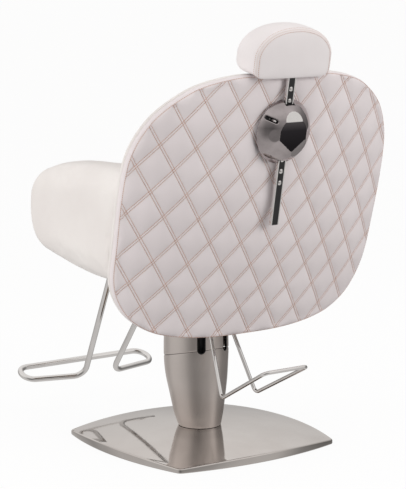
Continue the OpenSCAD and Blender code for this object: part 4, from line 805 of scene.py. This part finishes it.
def refine(piece):
    divide = piece.modifiers.new("refine", "SUBSURF")
    divide.levels = divide.render_levels = 1


CUSHION_VOXEL, DRAW_IN, CLOTH_STEPS = 6 * MM, 1.5 * MM, 18
# Where an arm's filling hangs: below a height, softly over a band, and most at one place along it
SAG_BELOW, SAG_BAND, SAG_AT, SAG_SPREAD = 0.56, 0.05, 0.04, 0.11


def swell(name, node, body, pressure, cap_mm, evening=14, sag=0):
    """A padded piece: the solid's form, drawn in, then blown up as sewn fabric and held near the solid."""
    piece = even_copy(name, node, CUSHION_VOXEL, evening)
    move_along_normals(piece, -DRAW_IN)
    rest = points_of(piece)
    cloth = piece.modifiers.new("cloth", "CLOTH")
    settings = cloth.settings
    settings.quality = 5
    settings.mass = 0.25
    settings.tension_stiffness = settings.compression_stiffness = 40
    settings.shear_stiffness = 20
    settings.bending_stiffness = 4
    settings.use_pressure = True
    settings.uniform_pressure_force = pressure
    settings.effector_weights.gravity = 0
    cloth.collision_settings.use_collision = False
    cloth.point_cache.frame_start = 1
    cloth.point_cache.frame_end = CLOTH_STEPS
    for step in range(1, CLOTH_STEPS + 1):
        bpy.context.scene.frame_set(step)
    apply_modifiers(piece)
    bpy.context.scene.frame_set(1)
    shift = points_of(piece) - rest
    size = np.linalg.norm(shift, axis=1)
    limit = cap_mm * MM
    shift *= (limit * np.tanh(size / limit) / np.maximum(size, 1e-9))[:, None]
    set_points(piece, rest + np.nan_to_num(shift))
    smooth_steps(piece, 3)
    if sag:
        co = points_of(piece)
        under = np.clip((SAG_BELOW - co[:, 2]) / SAG_BAND, 0, 1)
        co[:, 2] -= sag * MM * under * np.exp(-(((co[:, 1] - SAG_AT) / SAG_SPREAD) ** 2))
        set_points(piece, co)
    refine(piece)
    apply_modifiers(piece)
    piece.data.shade_smooth()
    wear(piece, vinyl)
    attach(piece, body)
    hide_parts(node)


def points_of(piece):
    co = np.zeros(len(piece.data.vertices) * 3)
    piece.data.vertices.foreach_get("co", co)
    return co.reshape(-1, 3)


def set_points(piece, co):
    piece.data.vertices.foreach_set("co", co.astype(np.float32).ravel())
    piece.data.update()


def smooth_steps(piece, steps):
    """Evens the points out, with a slightly longer step back after each so that the form keeps its size."""
    mesh = piece.data
    edges = np.zeros(len(mesh.edges) * 2, np.int64)
    mesh.edges.foreach_get("vertices", edges)
    edges = edges.reshape(-1, 2)
    co = points_of(piece)
    number = np.bincount(edges.ravel(), minlength=len(co)).astype(float)[:, None]
    for _ in range(steps):
        for rate in (0.5, -0.515):
            total = np.zeros_like(co)
            for k in range(3):
                total[:, k] = np.bincount(edges[:, 0], co[edges[:, 1], k], len(co)) + np.bincount(
                    edges[:, 1], co[edges[:, 0], k], len(co))
            co = co + rate * (total / np.maximum(number, 1) - co)
    set_points(piece, co)


def move_along_normals(piece, distance):
    normals = np.zeros(len(piece.data.vertices) * 3, np.float32)
    piece.data.vertices.foreach_get("normal", normals)
    set_points(piece, points_of(piece) + distance * normals.reshape(-1, 3))


# Headrest


def make_headrest():
    """Rings from the middle of the headrest's rear face round to the middle of its front."""
    sides = 200
    half_w, height, depth, rear, low_z = 122.0, 130.0, 115.0, 16.0, 133.0
    low = 0.36 * height
    mid = low_z + low
    # The sides' points crowd at the two lower corners
    w = 2 * math.pi * np.arange(sides) / sides
    w = w + 0.35 * np.sin(2 * w + 0.9) * (np.sin(w) < 0) * np.sin(w) ** 2 * 0.5
    c, s = np.cos(w), np.sin(w)
    power = 2.2 + 5.8 / (1 + np.exp(14 * (s + 0.08)))
    # How far the underside is lifted, by the distance from the rear face
    lift_y = (0, 5, 14, 40, 62, 74, 84, 93, 101, 115)
    lift_mm = (0, 2.0, 9.9, 9.9, 10.4, 13.5, 18, 22, 24.5, 26)

    def ring(share, draw, y, closer=0.0):
        high = np.where(s > 0, height - low - draw, low - draw * 0.15)
        r = (np.abs(c / (half_w - draw)) ** power + np.abs(s / high) ** power) ** (-1 / power)
        x, z = r * c * share, r * s * share
        z = z + np.where(z < 0, np.interp(y, lift_y, lift_mm) * -z / low, 0)
        return np.stack([x, np.full(sides, rear - y + closer), mid + z], 1)

    # Each ring: share of the outline, draw-in, distance in front of the rear face, and how much painted shade it gets
    # by the sewn seam
    profile = [
        (0.12, 8.4, -2.4, 0), (0.3, 8.4, -2.2, 0), (0.5, 8.4, -1.6, 0), (0.68, 8.4, -0.6, 0), (0.81, 8.4, 0.6, 0),
        (0.9, 8.4, 1.9, 0), (0.955, 8.4, 3.1, 0), (0.985, 8.4, 4.3, 0), (1, 8.1, 5.4, 0.35), (1, 7.4, 6.1, 0.7),
        (1, 5.4, 6.8, 0.2), (1, 3.8, 8.6, 0), (1, 2.4, 12, 0), (1, 1.5, 16, 0), (1, 0.7, 23, 0), (1, 0.2, 32, 0),
        (1, 0, 42, 0), (1, 0.1, 52, 0), (1, 0.8, 62, 0), (1, 2.4, 72, 0), (1, 5.2, 81, 0), (1, 9.3, 89.5, 0),
        (1, 14.6, 97, 0), (0.99, 20.5, 103, 0), (0.93, 22.5, 107.4, 0), (0.83, 22.5, 110.8, 0),
        (0.68, 22.5, 113.3, 0), (0.48, 22.5, 114.6, 0), (0.27, 22.5, 115, 0), (0.1, 22.5, 115, 0)]
    rings = [ring(share, draw, y) for share, draw, y, _ in profile]
    points = np.concatenate([*rings, [[0, rear + 2.4, mid], [0, rear - depth, mid]]])
    faces = capped_faces(len(rings), sides)
    head = new_piece("headrest_cushion", in_housing(points), faces, headrest_vinyl_painted_light, "headrest")
    mark_sewn(head, [*np.repeat([sewn for _, _, _, sewn in profile], sides), 0, 0])
    outwards(head.data)
    refine(head)
    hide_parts("headrest_pad")
    # A row of stitches on each side of the seam, from one lower corner round the top to the other
    upper = [k for k in range(sides) if s[k] > -0.33]
    first = next(k for k in upper if k - 1 not in upper and k > 0) if 0 in upper else upper[0]
    order = [(first + k) % sides for k in range(len(upper))]
    rows = [in_housing(ring(0.965, 8.4, 3.3, 0.5)[order]), in_housing(ring(1.004, 3.6, 10.2)[order])]
    sew("headrest_stitches", rows, "headrest")


# Tubes


def bent_line(points, bend, steps=12):
    """Straight stretches with round bends."""
    p = [Vector(q) for q in points]
    line = [p[0]]
    for before, at, after in zip(p, p[1:], p[2:]):
        u, v = (at - before).normalized(), (after - at).normalized()
        turn = u.angle(v)
        side = (v - u * u.dot(v)).normalized()
        centre = at - u * bend * math.tan(turn / 2) + side * bend
        for k in range(steps + 1):
            t = turn * k / steps
            line.append(centre - side * bend * math.cos(t) + u * bend * math.sin(t))
    return line + [p[-1]]


def make_tube(name, half, bend, diameter, node, body, sides=32):
    """A bent tube whose one half, from its end to the middle, is mirrored to the other side."""
    line = bent_line(half + [(-x, y, z) for x, y, z in half[::-1]], bend)
    t = [((b - a).normalized() + (c - b).normalized()).normalized() for a, b, c in zip(line, line[1:], line[2:])]
    t = [(line[1] - line[0]).normalized(), *t, (line[-1] - line[-2]).normalized()]
    across = t[0].orthogonal().normalized()
    rings = []
    for q, ahead in zip(line, t):
        across = (across - ahead * across.dot(ahead)).normalized()
        other = ahead.cross(across)
        rings.append([q + (across * math.cos(w) + other * math.sin(w)) * diameter / 2
                      for w in (2 * math.pi * j / sides for j in range(sides))])
    # Small round at each cut end
    for index, sign in ((0, -1), (-1, 1)):
        centre, ahead = line[index], t[index]
        ring = [centre + (p - centre) * 0.86 for p in rings[index]]
        rings[index] = [p - ahead * sign * diameter * 0.05 for p in rings[index]]
        rings = [ring, *rings] if index == 0 else [*rings, ring]
    points = [p for ring in rings for p in ring] + [line[0], line[-1]]
    faces = capped_faces(len(rings), sides)
    piece = new_piece(name, [tuple(q * MM) for q in points], faces, chrome, body)
    outwards(piece.data, MERGE)
    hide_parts(node)


FOOTREST_HALF = [(88, -148, 434), (88, -282, 434), (48, -489, 90), (214, -527, 92), (214, -586, 114)]
FOOTREST_BEND, FOOTREST_D = 34, 16
PEDAL_HALF = [(38, 43, 306), (35, 86, 313), (55, 166, 149), (69, 361, 252)]
PEDAL_BEND, PEDAL_D = 14, 10


def make_tubes():
    make_tube("footrest", FOOTREST_HALF, FOOTREST_BEND, FOOTREST_D, "footrest_tube", "seat")
    make_tube("foot_pedal", PEDAL_HALF, PEDAL_BEND, PEDAL_D, "pedal_loop", "pedal")


# Column and base


COLUMN_SHAPE_SHARES = [(0, 0.66), (0.05, 0.71), (0.11, 0.765), (0.22, 0.834), (0.325, 0.896), (0.43, 0.953),
                       (0.535, 0.985), (0.64, 1), (0.76, 0.996), (1, 0.972)]
COLUMN_LEAN_SHARES = [0.2, 0.34, 0.46, 0.6, 0.74, 0.9, 1, 1, 1, 1]
COLUMN_D, COLUMN_TOP, COLUMN_FOOT, COLUMN_SHIFT = 172, 345, 40.3, 20
SEAM_Z, SEAM_TILT, SEAM_GAP = 236, math.radians(12), 1.4
COLUMN_WALL, SLOT_TURN = 3, 27


def column_at(z):
    share = (z - COLUMN_FOOT) / (COLUMN_TOP - COLUMN_FOOT)
    curve = spline([(h, r, s) for (h, r), s in zip(COLUMN_SHAPE_SHARES, COLUMN_LEAN_SHARES)], 300, False)
    return (float(np.interp(share, curve[:, 0], curve[:, 1])) * COLUMN_D / 2,
            -COLUMN_SHIFT * float(np.interp(share, curve[:, 0], curve[:, 2])))


def make_cover(name, node, low, high):
    """A cover of the column between two levels, each a height for a point's distance to the rear."""
    sides, rows = 180, 46
    table = [(z, *column_at(z)) for z in np.linspace(COLUMN_FOOT, COLUMN_TOP, 200)]
    zs, rs, ys = (np.array(v) for v in zip(*table))
    rings = []
    for draw, order in ((0.0, range(rows)), (COLUMN_WALL, reversed(range(rows)))):
        for k in order:
            ring = []
            for j in range(sides):
                w = 2 * math.pi * j / sides
                y = -COLUMN_SHIFT + COLUMN_D / 2 * math.sin(w)
                first, last = low(y), high(y)
                soft = 0.8 if draw == 0 and k in (0, rows - 1) else 0.0
                z = first + (last - first) * k / (rows - 1)
                r = np.interp(z, zs, rs) - draw - soft
                ring.append((r * math.cos(w), np.interp(z, zs, ys) + r * math.sin(w), z))
            rings.append(ring)
    points = np.array([p for ring in rings for p in ring]) * MM
    cover = new_piece(name, points, looped_faces(len(rings), sides), satin, "base")
    outwards(cover.data, MERGE)
    cutters = []
    for angle in (-SLOT_TURN, SLOT_TURN):
        cutter = slot_cutter(angle)
        cut = cover.modifiers.new("slot", "BOOLEAN")
        cut.operation = "DIFFERENCE"
        cut.solver = "EXACT"
        cut.object = cutter
        cutters.append(cutter)
    apply_modifiers(cover)
    for cutter in cutters:
        bpy.data.objects.remove(cutter)
    cover.data.shade_smooth()
    cover.data.set_sharp_from_angle(angle=math.radians(35))
    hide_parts(node)


def slot_cutter(angle):
    """The stadium of a pedal slot, pushed through the column's wall."""
    width, low, high, near, far, steps = 23, 243, 334, 60, 110, 12
    outline = []
    for middle, start in ((high - width / 2, 0), (low + width / 2, 180)):
        for k in range(steps + 1):
            w = math.radians(start + 180 * k / steps)
            outline.append((width / 2 * math.cos(w), middle + width / 2 * math.sin(w)))
    n = len(outline)
    points = [(x, y, z) for y in (near, far) for x, z in outline]
    faces = [tuple(range(n)), tuple(range(2 * n - 1, n - 1, -1))]
    faces += [(j, n + j, n + (j + 1) % n, (j + 1) % n) for j in range(n)]
    mesh = bpy.data.meshes.new("slot")
    mesh.from_pydata([(x * MM, y * MM, z * MM) for x, y, z in points], [], faces)
    mesh.transform(Matrix.Translation((0, -COLUMN_SHIFT * MM, 0)) @ Matrix.Rotation(math.radians(angle), 4, "Z"))
    outwards(mesh)
    return put_in_scene("slot", mesh)


def make_column():
    def seam(y, side):
        return SEAM_Z + (y + COLUMN_SHIFT) * math.tan(SEAM_TILT) + side * SEAM_GAP / 2

    make_cover("lower_column", "column_lower_cover", lambda y: COLUMN_FOOT, lambda y: seam(y, -1))
    make_cover("upper_column", "column_upper_collar", lambda y: seam(y, 1), lambda y: COLUMN_TOP)


BASE_HALF, BASE_BOW, BASE_RIM, BASE_CROWN, BASE_SHEET = 250, 36, 11, 29, 1.5


def base_edge(count):
    """The base's outline: four sides that bow outwards, with small round corners."""
    arc = (BASE_HALF**2 + BASE_BOW**2) / (2 * BASE_BOW)
    reach, steps = math.asin(BASE_HALF / arc), 40
    edge = []
    for side in range(4):
        for k in range(steps + 1):
            w = -reach + 2 * reach * k / steps
            x, y = arc * math.sin(w), -(arc * math.cos(w) - arc + BASE_HALF + BASE_BOW)
            turn = side * math.pi / 2
            edge.append((x * math.cos(turn) - y * math.sin(turn), x * math.sin(turn) + y * math.cos(turn)))
    p = np.array(edge)
    p = p[np.linalg.norm(p - np.roll(p, 1, 0), axis=1) > 0.5]
    p = np.vstack([p, p[:1]])
    run = np.concatenate([[0], np.cumsum(np.linalg.norm(np.diff(p, axis=0), axis=1))])
    at = np.linspace(0, run[-1], count + 1)[:-1]
    p = np.stack([np.interp(at, run, p[:, k]) for k in (0, 1)], 1)
    # Rounds the corners
    for _ in range(5):
        p = 0.5 * p + 0.25 * (np.roll(p, 1, 0) + np.roll(p, -1, 0))
    return p


def make_base():
    edge = base_edge(560)
    sides = len(edge)
    ahead = np.roll(edge, -1, 0) - np.roll(edge, 1, 0)
    out = np.stack([ahead[:, 1], -ahead[:, 0]], 1) / np.linalg.norm(ahead, axis=1)[:, None]
    corner = BASE_HALF * math.sqrt(2)
    sphere = (corner**2 + BASE_CROWN**2) / (2 * BASE_CROWN)
    top = BASE_RIM + BASE_CROWN

    def dome(p):
        return top - sphere + np.sqrt(sphere**2 - (p**2).sum(1))

    inner = edge - 5.0 * out
    top_shares = (0.06, 0.12, 0.2, 0.28, 0.36, 0.44, 0.52, 0.6, 0.68, 0.76, 0.84, 0.91, 0.96)
    rows = [np.column_stack([inner * share, dome(inner * share)]) for share in top_shares]
    for inset, drop in ((5.0, 0), (4.0, 0.02), (3.0, 0.2), (2.0, 0.7), (1.1, 1.5), (0.5, 2.5), (0.1, 3.7), (0, 5.0)):
        rows.append(np.column_stack([edge - inset * out, dome(inner) - drop - 0.02]))
    for inset, z in ((0, 2.6), (0.25, 1.0), (0.9, 0.15), (2.0, 0), (4.3, 0), (4.4, BASE_SHEET)):
        rows.append(np.column_stack([edge - inset * out, np.full(sides, z)]))
    # The sheet's own thickness closes it underneath
    for share in (0.97, 0.84, 0.68, 0.52, 0.36, 0.2, 0.06):
        rows.append(np.column_stack([inner * share, dome(inner * share) - BASE_SHEET]))
    points = np.concatenate([*rows, [[0, 0, top]], [[0, 0, top - BASE_SHEET]]])
    base = new_piece("polished_base", points * MM, capped_faces(len(rows), sides), base_steel, "base")
    outwards(base.data, MERGE)
    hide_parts("base_cover")


# Housing of the headrest bar

HOUSING_VOXEL, HOUSING_EVENING = 1.15 * MM, 12
FACET_LEVEL, BEVEL_SLOPE, BEVEL_FACING_SHARE = 40.1, math.radians(22), 0.993


def make_housing():
    """The casting, with its edges softened by polishing."""
    piece = even_copy("cast_housing", "housing_dome", HOUSING_VOXEL, HOUSING_EVENING)
    piece.data.shade_smooth()
    wear(piece, cast, facet_painted_reflection, chrome)
    # The flat facet gets the painted dark reflection, and the bevel above it the brighter chrome as a painted
    # highlight
    co = points_of(piece) / MM
    c, s = math.cos(BAR_LEAN), math.sin(BAR_LEAN)
    height = (co[:, 1] - HOUSING_Y) * c - (co[:, 2] - HOUSING_Z) * s
    index = np.zeros(len(piece.data.polygons), np.int32)
    # Bevel faces that point this way wear chrome, a painted highlight
    bevel = Vector((0, math.cos(BEVEL_SLOPE), math.sin(BEVEL_SLOPE)))
    bevel.rotate(Matrix.Rotation(-BAR_LEAN, 3, "X"))
    for k, face in enumerate(piece.data.polygons):
        if min(height[v] for v in face.vertices) > FACET_LEVEL:
            index[k] = 1
        elif face.normal.dot(bevel) > BEVEL_FACING_SHARE:
            index[k] = 2
    piece.data.polygons.foreach_set("material_index", index)
    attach(piece, "back")
    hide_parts("housing_dome")


def dress_nodes():
    """Each node of the part that stays shown gets its finish."""
    slots = {s["node"]: s["material_slot"] for s in frame["record"]["subparts"]}
    for name, node in nodes.items():
        wear(node, FINISHES[slots[name]])


make_camera()
make_studio()
make_floor()
dress_nodes()
make_quilt()
make_back()
make_headrest()
make_tubes()
make_column()
make_base()
make_housing()
swell("left_arm_cushion", "left_arm", "seat", 2.0, 4, evening=90, sag=6)
swell("right_arm_cushion", "right_arm", "seat", 2.0, 4, evening=90, sag=6)
swell("seat_pad", "seat_cushion", "seat", 3.0, 6)
swell("inner_pad", "inner_back_pad", "back", 3.0, 6)

bpy.context.scene.view_settings.view_transform = "Standard"
